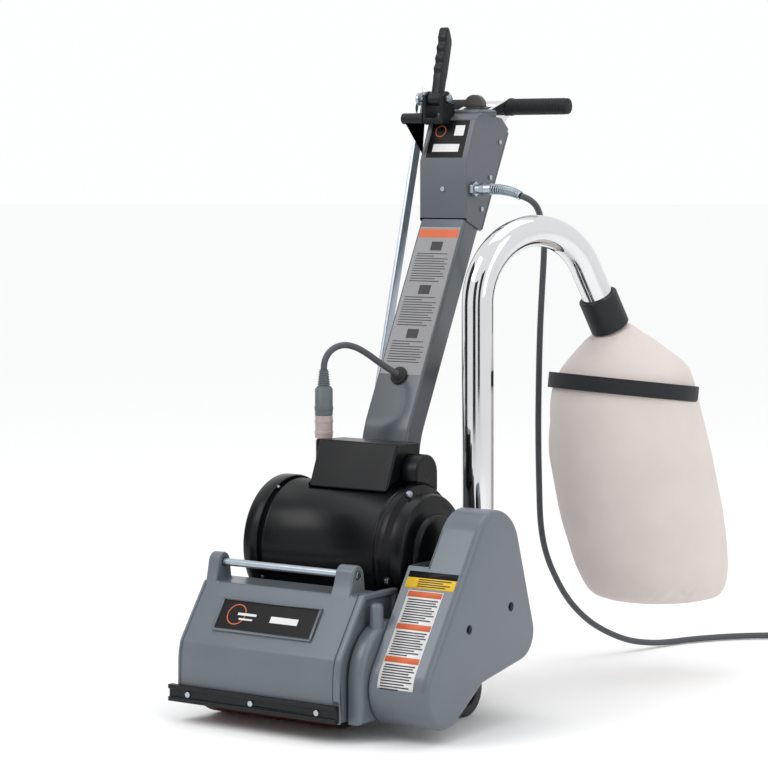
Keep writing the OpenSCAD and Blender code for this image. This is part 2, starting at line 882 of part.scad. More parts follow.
module truck_shaft() {
    color("silver") at_machine() {
        bar_x(48, 254, truck_c, 7);
        bar_x(45, 48, truck_c, 10);
    }
}

module wheel(x0) {
    difference() {
        union() {
            ring_x(x0, x0 + wheel_w, axle_c, wheel_r, 22);
            ring_x(x0 + 5, x0 + wheel_w - 5, axle_c, 22.1, 10);
            ring_x(x0 + 1, x0 + wheel_w - 1, axle_c, 11, 6 + fit);
        }
        for (a = [0:72:288]) bar_x(x0 - 1, x0 + wheel_w + 1, axle_c + 16 * [cos(a), sin(a)], 3.5);
    }
}

module wheel_left() {
    color("#15181b") at_machine() wheel(14);
}

module wheel_right() {
    color("#15181b") at_machine() wheel(288);
}

// ---- dust pipe and bag ----

module in_bend_plane() {
    translate([pipe_x, pipe_y, 0]) rotate([0, 0, pipe_heading]) children();
}

// Places children at the end of the bend, +Z running on out of the pipe
module at_pipe_end() {
    translate([pipe_bend_r, 0, pipe_bend_z]) rotate([0, pipe_turn, 0]) translate([-pipe_bend_r, 0, 0]) children();
}

// Tube wall; the bent length is drawn down by a hair from the straight length
module pipe_wall(drawn) {
    difference() {
        circle(r = pipe_r - drawn);
        circle(r = pipe_r - 1.6 - drawn);
    }
}

module dust_pipe() {
    color("lightgray") at_machine() in_bend_plane() {
        translate([0, 0, pipe_z0 + 0.5]) linear_extrude(pipe_bend_z - pipe_z0 - 0.5) pipe_wall(0);
        translate([pipe_bend_r, 0, pipe_bend_z]) rotate([90, 0, 0]) rotate([0, 0, 180 - pipe_turn])
            rotate_extrude(angle = pipe_turn) translate([pipe_bend_r, 0]) pipe_wall(0.1);
        at_pipe_end() linear_extrude(pipe_end) pipe_wall(0.1);
    }
}

module bag_cuff() {
    color("#1f2226") at_machine() in_bend_plane() at_pipe_end() difference() {
        translate([0, 0, pipe_end - 16]) cylinder(r = cuff_r, h = cuff_len);
        translate([0, 0, pipe_end - 17]) cylinder(r = pipe_r + 0.02, h = 17.5);
        translate([0, 0, pipe_end - 1]) cylinder(r = pipe_r - 3, h = cuff_len);
    }
}

// Stations of the bag along its axis: distance along the bend plane, height, half width, half depth
bag_stations = [[242, 494, 27, 27], [262, 470, 58, 52], [262, 446, 88, 76], [256, 414, 99, 88],
    [268, 330, 112, 96], [290, 240, 113, 96], [308, 170, 106, 88], [318, 128, 92, 72]];

module bag_slice(k) {
    b = bag_stations[k];
    translate([b[0], 0, b[1]]) rotate([0, 0, -32]) scale([b[2], b[3], 1]) cylinder(r = 1, h = 1, $fn = 36);
}

module bag_neck_slice() {
    at_pipe_end() translate([0, 0, pipe_end - 16 + cuff_len + 0.3]) cylinder(r = 26, h = 1, $fn = 36);
}

module dust_bag() {
    color("linen") at_machine() in_bend_plane() {
        hull() {
            bag_neck_slice();
            bag_slice(2);
        }
        hull() for (k = [2, 3, 4]) bag_slice(k);
        hull() for (k = [4, 5, 6, 7]) bag_slice(k);
    }
}

module bag_zip() {
    color("#17191c") at_machine() in_bend_plane() translate([257, 0, 416]) rotate([0, 7, 0]) rotate([0, 0, -32])
        difference() {
            translate([0, 0, -11]) scale([107, 96, 1]) cylinder(r = 1, h = 22, $fn = 72);
            translate([0, 0, -12]) scale([104.5, 93.5, 1]) cylinder(r = 1, h = 24, $fn = 72);
        }
}

// ---- power cord and motor lead ----

module cord_gland() {
    color("lightsteelblue") at_machine() difference() {
        union() {
            translate([column_x + box_w / 2 + 0.1, gland_y + 6, gland_z]) rotate([0, 90, 0])
                cylinder(r = 11, h = 7, $fn = 6);
            bar_x(column_x + box_w / 2 - 6, column_x + box_w / 2 + 30, [gland_y + 6, gland_z], 6.8);
            bar_x(column_x + box_w / 2 + 22, column_x + box_w / 2 + 34, [gland_y + 6, gland_z], 8.5);
            gland_spring();
        }
        bar_x(column_x + box_w / 2 - 10, column_x + box_w / 2 + 36, [gland_y + 6, gland_z], 3.5);
    }
}

// Tapered bend guard between the gland and the cord
module gland_spring() {
    hull() {
        bar_x(column_x + box_w / 2 + 33, column_x + box_w / 2 + 35, [gland_y + 6, gland_z], 7.5);
        translate([236, 464, 694.5]) rotate([0, 98, -2]) cylinder(r = 6.8, h = 2);
    }
    hull() {
        translate([236, 464, 694.5]) rotate([0, 98, -2]) cylinder(r = 6.8, h = 2);
        translate([255, 462.5, 689.5]) rotate([0, 112, 18]) cylinder(r = 6, h = 2);
    }
}

module power_cord() {
    color("#5b6066") at_machine() tube(smooth_route(cord_route, 3), cord_r, 8);
}

module cord_coil() {
    color("#5b6066") at_machine() translate([coil_x, coil_y, 0]) rotate_extrude()
        translate([coil_mean_r - coil_half_w, 0.01]) square([2 * coil_half_w, coil_h]);
}

module plug() {
    color("#2b2d30") at_machine() translate([coil_x - 92, coil_y + 73, 0]) rotate([0, 0, 180]) {
        translate([0, 0, 16]) rotate([0, 90, 0]) cylinder(r = 15, h = 38);
        translate([-14, 0, 16]) rotate([0, 90, 0]) cylinder(r1 = 7, r2 = 13, h = 14.5);
        for (y = [-6, 6]) translate([37.9, y - 0.8, 13]) cube([18, 1.6, 6.5]);
        translate([37.9, 0, 9]) rotate([0, 90, 0]) cylinder(r = 2.4, h = 20);
    }
}

module motor_lead() {
    color("#5b6066") at_machine() tube(smooth_route(lead_route, 2), lead_r, 10);
}

module lead_plug() {
    color("#7b7f84") at_machine() translate([inlet_x, inlet_y, 0]) {
        translate([0, 0, 356.3]) cylinder(r = 12.9, h = 32);
        translate([0, 0, 388]) cylinder(r = 12.5, h = 40);
        translate([0, 0, 427.9]) cylinder(r1 = 9.5, r2 = 6.5, h = 21);
    }
}

module lead_grommet() {
    color("#15171a") at_machine() at_lead_hole() {
        translate([0, 0, -4]) cylinder(r = 9, h = 12);
        translate([0, 0, 0.5]) cylinder(r = 13, h = 4);
    }
}

drum_housing();
side_plate();
bearing_cap();
nameplate();
dust_skirt();
skirt_screws();
lift_bar();
shaft_bearings();
drum_shaft();
drum_core();
drum_sleeve();
abrasive_belt();
drum_pulley();
motor_shell();
fan_bell();
drive_bell();
motor_bolts();
motor_base();
frame_bolts();
stator();
rotor();
motor_shaft();
cooling_fan();
motor_pulley();
terminal_box();
capacitor_cover();
drive_belts();
fan_housing();
fan_impeller();
fan_shaft();
fan_pulley();
guard_backplate();
belt_guard();
guard_bolts();
column();
column_foot();
control_box();
box_cover();
box_screws();
handle_bar();
grips();
power_switch();
lever_bracket();
control_lever();
control_rod();
truck();
truck_shaft();
wheel_left();
wheel_right();
dust_pipe();
bag_cuff();
dust_bag();
bag_zip();
cord_gland();
power_cord();
cord_coil();
plug();
motor_lead();
lead_plug();
lead_grommet();
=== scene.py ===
"""Looks of a walk-behind floor drum sander: finishes, smooth pieces, cloth bag, cords, light, camera.

Lengths inside the classes are millimetres in the machine's own axes: X = 0 at the left end of the
dust skirt, Y = 0 at the front of the drum housing and Z = 0 on the floor. at() turns them into the
frame's metres.
"""
import json
import logging
import math
from dataclasses import dataclass, field
from enum import Enum

import bmesh
import bpy
from mathutils import Matrix, Vector

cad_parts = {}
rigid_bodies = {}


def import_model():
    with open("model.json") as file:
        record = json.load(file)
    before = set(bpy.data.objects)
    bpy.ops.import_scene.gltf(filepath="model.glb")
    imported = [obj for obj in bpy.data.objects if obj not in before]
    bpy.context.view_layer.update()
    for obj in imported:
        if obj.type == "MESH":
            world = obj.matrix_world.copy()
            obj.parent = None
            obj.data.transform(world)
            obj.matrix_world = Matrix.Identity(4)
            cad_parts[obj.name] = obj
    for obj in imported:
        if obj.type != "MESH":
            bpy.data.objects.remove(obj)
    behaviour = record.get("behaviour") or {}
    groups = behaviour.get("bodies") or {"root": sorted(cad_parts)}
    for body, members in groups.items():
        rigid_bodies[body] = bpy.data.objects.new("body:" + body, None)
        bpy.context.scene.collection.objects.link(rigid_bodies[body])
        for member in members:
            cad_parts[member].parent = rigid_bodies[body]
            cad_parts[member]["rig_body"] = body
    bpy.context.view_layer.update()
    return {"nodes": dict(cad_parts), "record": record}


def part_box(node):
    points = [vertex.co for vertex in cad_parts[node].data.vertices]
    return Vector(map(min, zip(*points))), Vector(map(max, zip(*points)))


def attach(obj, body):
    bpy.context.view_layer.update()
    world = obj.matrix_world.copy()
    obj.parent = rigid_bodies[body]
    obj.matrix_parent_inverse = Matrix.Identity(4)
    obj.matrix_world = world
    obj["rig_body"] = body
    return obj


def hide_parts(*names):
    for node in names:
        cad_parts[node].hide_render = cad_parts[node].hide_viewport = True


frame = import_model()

LOG = logging.getLogger("drum_sander")
MM = 0.001
CORNER = Vector((-237.5, -358.7, 0.0))
Point = tuple[float, float]
Place = tuple[float, float, float]


def at(x: float, y: float, z: float) -> Vector:
    """Returns a machine point, in millimetres, as a frame point in metres."""
    return (Vector((x, y, z)) + CORNER) * MM


def arc(centre: Point, radius: float, start: float, end: float, steps: int) -> list[Point]:
    """Points on an arc.

    Args:
        centre: The arc's centre.
        radius: Its radius.
        start: Start angle in degrees.
        end: End angle in degrees.
        steps: Number of steps along it.

    Returns:
        The points from start to end.
    """
    turn = [math.radians(start + (end - start) * i / steps) for i in range(steps + 1)]
    return [(centre[0] + radius * math.cos(a), centre[1] + radius * math.sin(a)) for a in turn]


def smooth_route(points: list[Vector], steps: int) -> list[Vector]:
    """Resamples a route with a Catmull-Rom curve.

    Args:
        points: The route's points.
        steps: Samples for each span.

    Returns:
        The finer route.
    """
    out = []
    for i in range(len(points) - 1):
        a, b = points[max(i - 1, 0)], points[i]
        c, d = points[i + 1], points[min(i + 2, len(points) - 1)]
        for k in range(steps):
            t = k / steps
            out.append(0.5 * (2 * b + (c - a) * t + (2 * a - 5 * b + 4 * c - d) * t * t
                              + (3 * b - a - 3 * c + d) * t ** 3))
    return out + [points[-1]]


def length_of(points: list[Vector]) -> float:
    """Returns the length of a route."""
    return sum((b - a).length for a, b in zip(points, points[1:]))


class Body(Enum):
    """The moving bodies that pieces ride on."""

    MACHINE = "machine"
    LEVER = "lift_lever"
    SWITCH = "rocker"


class Pattern(Enum):
    """How a finish's surface is broken up."""

    PAINT = "paint"
    METAL = "metal"
    MOULDED = "moulded"
    CLOTH = "cloth"
    GRIT = "grit"


@dataclass(frozen=True)
class Finish:
    """One finish, named after the record's material slot that it belongs to."""

    slot: str
    color: tuple[float, float, float]
    roughness: float
    pattern: Pattern = Pattern.MOULDED
    metallic: float = 0.0
    coat: float = 0.0
    shade: float = 0.06
    scale: float = 30.0
    relief: float = 0.02
    relief_scale: float = 400.0
    title: str = ""
    specular: float = 0.4


FINISHES = (
    Finish("grey_casting", (0.128, 0.150, 0.172), 0.36, Pattern.PAINT, 0.1, 0.15, 0.05, 18, 0.08, 420),
    Finish("grey_sheet", (0.122, 0.143, 0.165), 0.34, Pattern.PAINT, 0.1, 0.15, 0.04, 14, 0.05, 420),
    Finish("grey_tube", (0.080, 0.096, 0.112), 0.24, Pattern.PAINT, 0.1, 0.3, 0.04, 14, 0.02, 300),
    Finish("box_grey", (0.100, 0.114, 0.132), 0.36, Pattern.PAINT, 0.1, 0.12, 0.04, 14, 0.05, 420),
    Finish("motor_black", (0.0030, 0.0034, 0.0045), 0.30, Pattern.PAINT, 0.0, 0.0, 0.10, 20, 0.03, 240, specular=0.22),
    Finish("black_steel", (0.006, 0.007, 0.009), 0.45, Pattern.PAINT, 0.0, 0.0, 0.10, 30, 0.04, 500, specular=0.3),
    Finish("truck_steel", (0.035, 0.040, 0.046), 0.45, Pattern.PAINT, 0.0, 0.1, 0.08, 30, 0.03, 400),
    Finish("plate_black", (0.004, 0.004, 0.005), 0.35, Pattern.PAINT, 0.0, 0.0, 0.05, 30, 0.01, 400, specular=0.2),
    Finish("zinc", (0.42, 0.47, 0.52), 0.30, Pattern.METAL, 1.0, 0.0, 0.08, 60, 0.02, 500),
    Finish("bearing_steel", (0.60, 0.60, 0.61), 0.25, Pattern.METAL, 1.0, 0.0, 0.05, 60, 0.01, 500),
    Finish("shaft_steel", (0.55, 0.55, 0.56), 0.28, Pattern.METAL, 1.0, 0.0, 0.05, 60, 0.01, 500),
    Finish("stator_steel", (0.24, 0.17, 0.10), 0.5, Pattern.METAL, 0.7, 0.0, 0.12, 80, 0.05, 500),
    Finish("rotor_steel", (0.42, 0.42, 0.43), 0.35, Pattern.METAL, 1.0, 0.0, 0.06, 80, 0.02, 500),
    Finish("drum_alloy", (0.58, 0.59, 0.60), 0.38, Pattern.METAL, 1.0, 0.0, 0.06, 50, 0.05, 300),
    Finish("drum_rubber", (0.018, 0.018, 0.018), 0.7, Pattern.MOULDED, 0.0, 0.0, 0.1, 40, 0.04, 300),
    Finish("abrasive", (0.105, 0.020, 0.014), 0.85, Pattern.GRIT, 0.0, 0.0, 0.25, 300, 0.5, 900),
    Finish("pulley_iron", (0.14, 0.14, 0.15), 0.45, Pattern.METAL, 0.9, 0.0, 0.08, 60, 0.04, 400),
    Finish("belt_rubber", (0.012, 0.012, 0.012), 0.6, Pattern.MOULDED, 0.0, 0.0, 0.1, 60, 0.05, 400),
    Finish("fan_plastic", (0.018, 0.018, 0.018), 0.5),
    Finish("black_oxide", (0.012, 0.012, 0.013), 0.4, Pattern.METAL, 0.8, 0.0, 0.1, 60, 0.02, 400),
    Finish("chrome_bar", (0.72, 0.73, 0.75), 0.10, Pattern.METAL, 1.0, 0.0, 0.02, 10, 0.004, 60),
    Finish("chrome_pipe", (0.72, 0.73, 0.75), 0.06, Pattern.METAL, 1.0, 0.0, 0.02, 10, 0.004, 40),
    Finish("grip_rubber", (0.009, 0.011, 0.014), 0.6, Pattern.MOULDED, 0.0, 0.0, 0.1, 50, 0.06, 500, specular=0.3),
    Finish("switch_plastic", (0.070, 0.066, 0.064), 0.5, specular=0.3),
    Finish("lever_plastic", (0.008, 0.010, 0.013), 0.4, Pattern.MOULDED, 0.0, 0.0, 0.1, 50, 0.03, 500, specular=0.3),
    Finish("wheel_rubber", (0.012, 0.014, 0.017), 0.55, Pattern.MOULDED, 0.0, 0.0, 0.1, 40, 0.05, 400),
    Finish("cuff_rubber", (0.010, 0.012, 0.015), 0.5, Pattern.MOULDED, 0.0, 0.0, 0.1, 40, 0.05, 400, specular=0.35),
    Finish("bag_cotton", (0.70, 0.635, 0.60), 0.95, Pattern.CLOTH, 0.0, 0.0, 0.04, 16, 0.4, 1100, specular=0.1),
    Finish("zip_tape", (0.012, 0.013, 0.017), 0.75, Pattern.CLOTH, 0.0, 0.0, 0.1, 60, 0.4, 900),
    Finish("cord_jacket", (0.070, 0.078, 0.088), 0.5, Pattern.MOULDED, 0.0, 0.0, 0.06, 40, 0.03, 400),
    Finish("plug_plastic", (0.022, 0.023, 0.026), 0.45),
    Finish("connector_plastic", (0.105, 0.125, 0.135), 0.45),
)

PRINTS = (
    Finish("plate_black", (0.004, 0.004, 0.005), 0.4, title="print_black", specular=0.2),
    Finish("plate_black", (0.72, 0.72, 0.72), 0.5, title="print_white"),
    Finish("plate_black", (0.27, 0.27, 0.285), 0.4, title="print_silver"),
    Finish("plate_black", (0.62, 0.13, 0.045), 0.5, title="print_orange"),
    Finish("plate_black", (0.78, 0.50, 0.02), 0.5, title="print_yellow"),
    Finish("plate_black", (0.035, 0.035, 0.037), 0.5, title="print_ink"),
    Finish("connector_plastic", (0.42, 0.34, 0.33), 0.25, coat=0.3, title="boot_clear"),
    Finish("bag_cotton", (0.70, 0.63, 0.58), 0.92, Pattern.CLOTH, relief=0.3, relief_scale=1100,
           title="seam_thread"),
)


class Paintshop:
    """Makes every material from its finish, with two shared node groups."""

    def __init__(self) -> None:
        """Builds the shared groups and all the materials."""
        self.uneven = self._uneven_group()
        self.weave = self._weave_group()
        self.materials = {f.title or f.slot: self._material(f) for f in FINISHES + PRINTS}
        self.slots = {f.title or f.slot: f.slot for f in FINISHES + PRINTS}

    @staticmethod
    def _sockets(group: bpy.types.NodeTree, ins: list[tuple[str, str]],
                 outs: list[tuple[str, str]]) -> tuple[bpy.types.Node, bpy.types.Node]:
        """Adds named sockets and the two end nodes to a group.

        Args:
            group: The node group.
            ins: Name and socket type of each input.
            outs: Name and socket type of each output.

        Returns:
            The group's input and output nodes.
        """
        for name, kind in ins:
            group.interface.new_socket(name, in_out="INPUT", socket_type=kind)
        for name, kind in outs:
            group.interface.new_socket(name, in_out="OUTPUT", socket_type=kind)
        return group.nodes.new("NodeGroupInput"), group.nodes.new("NodeGroupOutput")

    def _uneven_group(self) -> bpy.types.NodeTree:
        """Returns the group that mottles colour and gloss and gives a fine height."""
        group = bpy.data.node_groups.new("uneven_surface", "ShaderNodeTree")
        number, vector, color = "NodeSocketFloat", "NodeSocketVector", "NodeSocketColor"
        head, tail = self._sockets(
            group,
            [("Vector", vector), ("Color", color), ("Roughness", number), ("Scale", number),
             ("Shade", number), ("Fine Scale", number)],
            [("Color", color), ("Roughness", number), ("Height", number)])
        broad = group.nodes.new("ShaderNodeTexNoise")
        broad.inputs["Detail"].default_value = 5.0
        fine = group.nodes.new("ShaderNodeTexNoise")
        fine.inputs["Detail"].default_value = 2.0
        for noise, scale in ((broad, "Scale"), (fine, "Fine Scale")):
            group.links.new(head.outputs["Vector"], noise.inputs["Vector"])
            group.links.new(head.outputs[scale], noise.inputs["Scale"])
        centred = group.nodes.new("ShaderNodeMath")
        centred.operation = "SUBTRACT"
        centred.inputs[1].default_value = 0.5
        group.links.new(broad.outputs["Fac"], centred.inputs[0])
        swing = group.nodes.new("ShaderNodeMath")
        swing.operation = "MULTIPLY"
        group.links.new(centred.outputs[0], swing.inputs[0])
        group.links.new(head.outputs["Shade"], swing.inputs[1])
        gain = group.nodes.new("ShaderNodeMath")
        gain.operation = "MULTIPLY_ADD"
        gain.inputs[1].default_value = 4.0
        gain.inputs[2].default_value = 1.0
        group.links.new(swing.outputs[0], gain.inputs[0])
        tint = group.nodes.new("ShaderNodeVectorMath")
        tint.operation = "SCALE"
        group.links.new(head.outputs["Color"], tint.inputs[0])
        group.links.new(gain.outputs[0], tint.inputs["Scale"])
        gloss = group.nodes.new("ShaderNodeMath")
        gloss.operation = "MULTIPLY_ADD"
        gloss.inputs[1].default_value = 1.5
        group.links.new(swing.outputs[0], gloss.inputs[0])
        group.links.new(head.outputs["Roughness"], gloss.inputs[2])
        group.links.new(tint.outputs[0], tail.inputs["Color"])
        group.links.new(gloss.outputs[0], tail.inputs["Roughness"])
        group.links.new(fine.outputs["Fac"], tail.inputs["Height"])
        return group

    def _weave_group(self) -> bpy.types.NodeTree:
        """Returns the group that gives the height of a plain weave."""
        group = bpy.data.node_groups.new("plain_weave", "ShaderNodeTree")
        head, tail = self._sockets(
            group, [("Vector", "NodeSocketVector"), ("Scale", "NodeSocketFloat")],
            [("Height", "NodeSocketFloat")])
        total = group.nodes.new("ShaderNodeMath")
        total.operation = "ADD"
        for i, direction in enumerate(("DIAGONAL", "Z")):
            wave = group.nodes.new("ShaderNodeTexWave")
            wave.bands_direction = direction
            wave.inputs["Distortion"].default_value = 1.5
            group.links.new(head.outputs["Vector"], wave.inputs["Vector"])
            group.links.new(head.outputs["Scale"], wave.inputs["Scale"])
            group.links.new(wave.outputs["Fac"], total.inputs[i])
        group.links.new(total.outputs[0], tail.inputs["Height"])
        return group

    def _material(self, finish: Finish) -> bpy.types.Material:
        """Makes one material.

        Args:
            finish: The finish that it follows.

        Returns:
            The material.
        """
        material = bpy.data.materials.new(finish.title or finish.slot)
        material.use_nodes = True
        nodes, links = material.node_tree.nodes, material.node_tree.links
        shader = nodes["Principled BSDF"]
        shader.inputs["Metallic"].default_value = finish.metallic
        shader.inputs["Coat Weight"].default_value = finish.coat
        shader.inputs["Specular IOR Level"].default_value = finish.specular
        shader.inputs["Coat Roughness"].default_value = 0.12
        if finish.pattern is Pattern.CLOTH:
            shader.inputs["Sheen Weight"].default_value = 0.05
        place = nodes.new("ShaderNodeTexCoord")
        uneven = nodes.new("ShaderNodeGroup")
        uneven.node_tree = self.uneven
        uneven.inputs["Color"].default_value = (*finish.color, 1.0)
        uneven.inputs["Roughness"].default_value = finish.roughness
        uneven.inputs["Scale"].default_value = finish.scale
        uneven.inputs["Shade"].default_value = finish.shade
        uneven.inputs["Fine Scale"].default_value = finish.relief_scale
        links.new(place.outputs["Object"], uneven.inputs["Vector"])
        links.new(uneven.outputs["Color"], shader.inputs["Base Color"])
        links.new(uneven.outputs["Roughness"], shader.inputs["Roughness"])
        bump = nodes.new("ShaderNodeBump")
        bump.inputs["Strength"].default_value = finish.relief
        bump.inputs["Distance"].default_value = 0.0006
        height = uneven.outputs["Height"]
        if finish.pattern is Pattern.CLOTH:
            weave = nodes.new("ShaderNodeGroup")
            weave.node_tree = self.weave
            weave.inputs["Scale"].default_value = finish.relief_scale / 4
            links.new(place.outputs["Object"], weave.inputs["Vector"])
            height = weave.outputs["Height"]
        links.new(height, bump.inputs["Height"])
        links.new(bump.outputs["Normal"], shader.inputs["Normal"])
        return material

    def dress_cad(self) -> None:
        """Gives every CAD node the material of its slot."""
        wanted = {s["node"]: s["material_slot"] for s in frame["record"]["subparts"]}
        for name, node in frame["nodes"].items():
            node.data.materials.clear()
            node.data.materials.append(self.materials[wanted[name]])


@dataclass
class Bench:
    """Turns meshes and curves into finished pieces."""

    shop: Paintshop
    made: int = 0

    def finish(self, name: str, bm: bmesh.types.BMesh, look: str, body: str, replaces: tuple[str, ...] = (),
               bevel: float = 0.0, angle: float = 34.0) -> bpy.types.Object:
        """Makes a piece from a bmesh.

        Args:
            name: Name of the piece.
            bm: Its mesh, in frame metres; it is freed here.
            look: Name of its material.
            body: The body that it rides on.
            replaces: CAD nodes that it stands for.
            bevel: Width of its rounded edges in millimetres, or 0.
            angle: Edges sharper than this stay sharp, in degrees.

        Returns:
            The new object.
        """
        bmesh.ops.remove_doubles(bm, verts=bm.verts, dist=1e-6)
        bmesh.ops.recalc_face_normals(bm, faces=bm.faces)
        mesh = bpy.data.meshes.new(name)
        bm.to_mesh(mesh)
        bm.free()
        return self.adopt(name, mesh, look, body, replaces, bevel, angle)

    def adopt(self, name: str, mesh: bpy.types.Mesh, look: str, body: str, replaces: tuple[str, ...] = (),
              bevel: float = 0.0, angle: float = 34.0) -> bpy.types.Object:
        """Returns:
            The new object.
        """
        piece = bpy.data.objects.new(name, mesh)
        bpy.context.scene.collection.objects.link(piece)
        mesh.materials.clear()
        mesh.materials.append(self.shop.materials[look])
        mesh.shade_smooth()
        if bevel:
            edge = piece.modifiers.new("rounded_edges", "BEVEL")
            edge.width = bevel * MM
            edge.segments = 3
            edge.limit_method = "ANGLE"
            edge.angle_limit = math.radians(angle)
            edge.use_clamp_overlap = False
            level = piece.modifiers.new("even_faces", "WEIGHTED_NORMAL")
            level.keep_sharp = True
        else:
            mesh.set_sharp_from_angle(angle=math.radians(angle))
        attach(piece, body)
        if replaces:
            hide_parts(*replaces)
        self.made += 1
        LOG.info("%s on %s", name, body)
        return piece

    def soften(self, node: str, width: float) -> bpy.types.Object:
        """Replaces a CAD node with a merged copy that has rounded edges.

        Args:
            node: The CAD node.
            width: Width of the rounded edges in millimetres.

        Returns:
            The new object.
        """
        source = frame["nodes"][node]
        bm = bmesh.new()
        bm.from_mesh(source.data)
        bmesh.ops.remove_doubles(bm, verts=bm.verts, dist=1e-5)
        bmesh.ops.dissolve_limit(bm, angle_limit=math.radians(0.6), verts=bm.verts, edges=bm.edges)
        mesh = bpy.data.meshes.new(node + "_soft")
        bm.to_mesh(mesh)
        bm.free()
        slots = {s["node"]: s["material_slot"] for s in frame["record"]["subparts"]}
        return self.adopt(node + "_soft", mesh, slots[node], source["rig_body"], (node,), width)

    def tube(self, name: str, points: list[Vector], radius: float, look: str, body: str,
             replaces: tuple[str, ...] = (), sides: int = 5, keep_curve: bool = False,
             swell: list[float] | None = None) -> bpy.types.Object:
        """Makes a round cord or wire along points.

        Args:
            name: Name of the piece.
            points: Its centreline in frame metres.
            radius: Its radius in millimetres.
            look: Name of its material.
            body: The body that it rides on.
            replaces: CAD nodes that it stands for.
            sides: Bevel resolution of the section.
            keep_curve: Leaves it a curve, as a free cord must be.
            swell: Factor on the radius at each point.

        Returns:
            The new object.
        """
        curve = bpy.data.curves.new(name, "CURVE")
        curve.dimensions = "3D"
        curve.bevel_depth = radius * MM
        curve.bevel_resolution = sides
        curve.use_fill_caps = True
        spline = curve.splines.new("POLY")
        spline.points.add(len(points) - 1)
        for i, point in enumerate(points):
            spline.points[i].co = (*point, 1.0)
            spline.points[i].radius = swell[i] if swell else 1.0
        spline.use_smooth = True
        curve.materials.append(self.shop.materials[look])
        piece = bpy.data.objects.new(name, curve)
        bpy.context.scene.collection.objects.link(piece)
        if keep_curve:
            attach(piece, body)
            if replaces:
                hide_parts(*replaces)
            LOG.info("%s on %s", name, body)
            return piece
        bpy.context.view_layer.update()
        mesh = bpy.data.meshes.new_from_object(piece.evaluated_get(bpy.context.evaluated_depsgraph_get()))
        bpy.data.objects.remove(piece)
        return self.adopt(name, mesh, look, body, replaces, angle=50.0)


def slab(outline: list[Point], x0: float, x1: float) -> bmesh.types.BMesh:
    """Extrudes a side outline along X.

    Args:
        outline: Points as (y, z) in machine millimetres.
        x0: Where the slab starts.
        x1: Where it ends.

    Returns:
        A closed bmesh in frame metres.
    """
    bm = bmesh.new()
    face = bm.faces.new([bm.verts.new(at(x0, y, z)) for y, z in outline])
    top = bmesh.ops.extrude_face_region(bm, geom=[face])
    moved = [g for g in top["geom"] if isinstance(g, bmesh.types.BMVert)]
    bmesh.ops.translate(bm, verts=moved, vec=Vector(((x1 - x0) * MM, 0, 0)))
    bmesh.ops.recalc_face_normals(bm, faces=bm.faces)
    return bm


def turned(profile: list[Point], centre: Point, steps: int = 96) -> bmesh.types.BMesh:
    """Turns a profile about an axis along X.

    Args:
        profile: Points as (x, radius) in machine millimetres.
        centre: The axis as (y, z).
        steps: Steps round the turn.

    Returns:
        The turned bmesh in frame metres.
    """
    bm = bmesh.new()
    points = [bm.verts.new(at(x, centre[0], centre[1] + r)) for x, r in profile]
    edges = [bm.edges.new(pair) for pair in zip(points, points[1:])]
    bmesh.ops.spin(bm, geom=points + edges, cent=at(0, *centre), axis=(1, 0, 0), dvec=(0, 0, 0),
                   angle=2 * math.pi, steps=steps, use_merge=True, use_duplicate=False)
    bmesh.ops.remove_doubles(bm, verts=bm.verts, dist=1e-6)
    return bm


def rounded_front(bm: bmesh.types.BMesh, radius: float) -> bmesh.types.BMesh:
    """Rounds the rim of a slab's +X face.

    Args:
        bm: The slab.
        radius: Radius of the rounding in millimetres.

    Returns:
        The same bmesh.
    """
    front = max(v.co.x for v in bm.verts)
    rim = [e for e in bm.edges if all(v.co.x > front - 1e-6 for v in e.verts)]
    bmesh.ops.bevel(bm, geom=rim, offset=radius * MM, offset_type="OFFSET", segments=6, profile=0.5,
                    affect="EDGES", material=-1, clamp_overlap=False)
    return bm


def block(low: Place, high: Place) -> bmesh.types.BMesh:
    """Returns a box between two machine corners, as a bmesh in frame metres."""
    bm = bmesh.new()
    bmesh.ops.create_cube(bm, size=1.0)
    a, b = at(*low), at(*high)
    bmesh.ops.scale(bm, vec=b - a, verts=bm.verts)
    bmesh.ops.translate(bm, vec=(a + b) / 2, verts=bm.verts)
    return bm


def rod(start: Vector, end: Vector, radius: float, far_radius: float | None = None,
        sides: int = 48) -> bmesh.types.BMesh:
    """Makes a round or hexagonal bar.

    Args:
        start: Centre of its first end, in frame metres.
        end: Centre of its far end.
        radius: Its radius in millimetres.
        far_radius: Radius of the far end, if it tapers.
        sides: Number of sides.

    Returns:
        The bar as a bmesh.
    """
    bm = bmesh.new()
    run = end - start
    bmesh.ops.create_cone(bm, cap_ends=True, segments=sides, radius1=radius * MM,
                          radius2=(radius if far_radius is None else far_radius) * MM, depth=run.length)
    turn = run.to_track_quat("Z", "Y").to_matrix().to_4x4()
    bmesh.ops.transform(bm, matrix=Matrix.Translation((start + end) / 2) @ turn, verts=bm.verts)
    return bm


def joined(*parts: bmesh.types.BMesh) -> bmesh.types.BMesh:
    """Returns one bmesh that holds all the parts; the parts are freed."""
    whole = bmesh.new()
    for part in parts:
        mesh = bpy.data.meshes.new("part")
        part.to_mesh(mesh)
        part.free()
        whole.from_mesh(mesh)
        bpy.data.meshes.remove(mesh)
    return whole


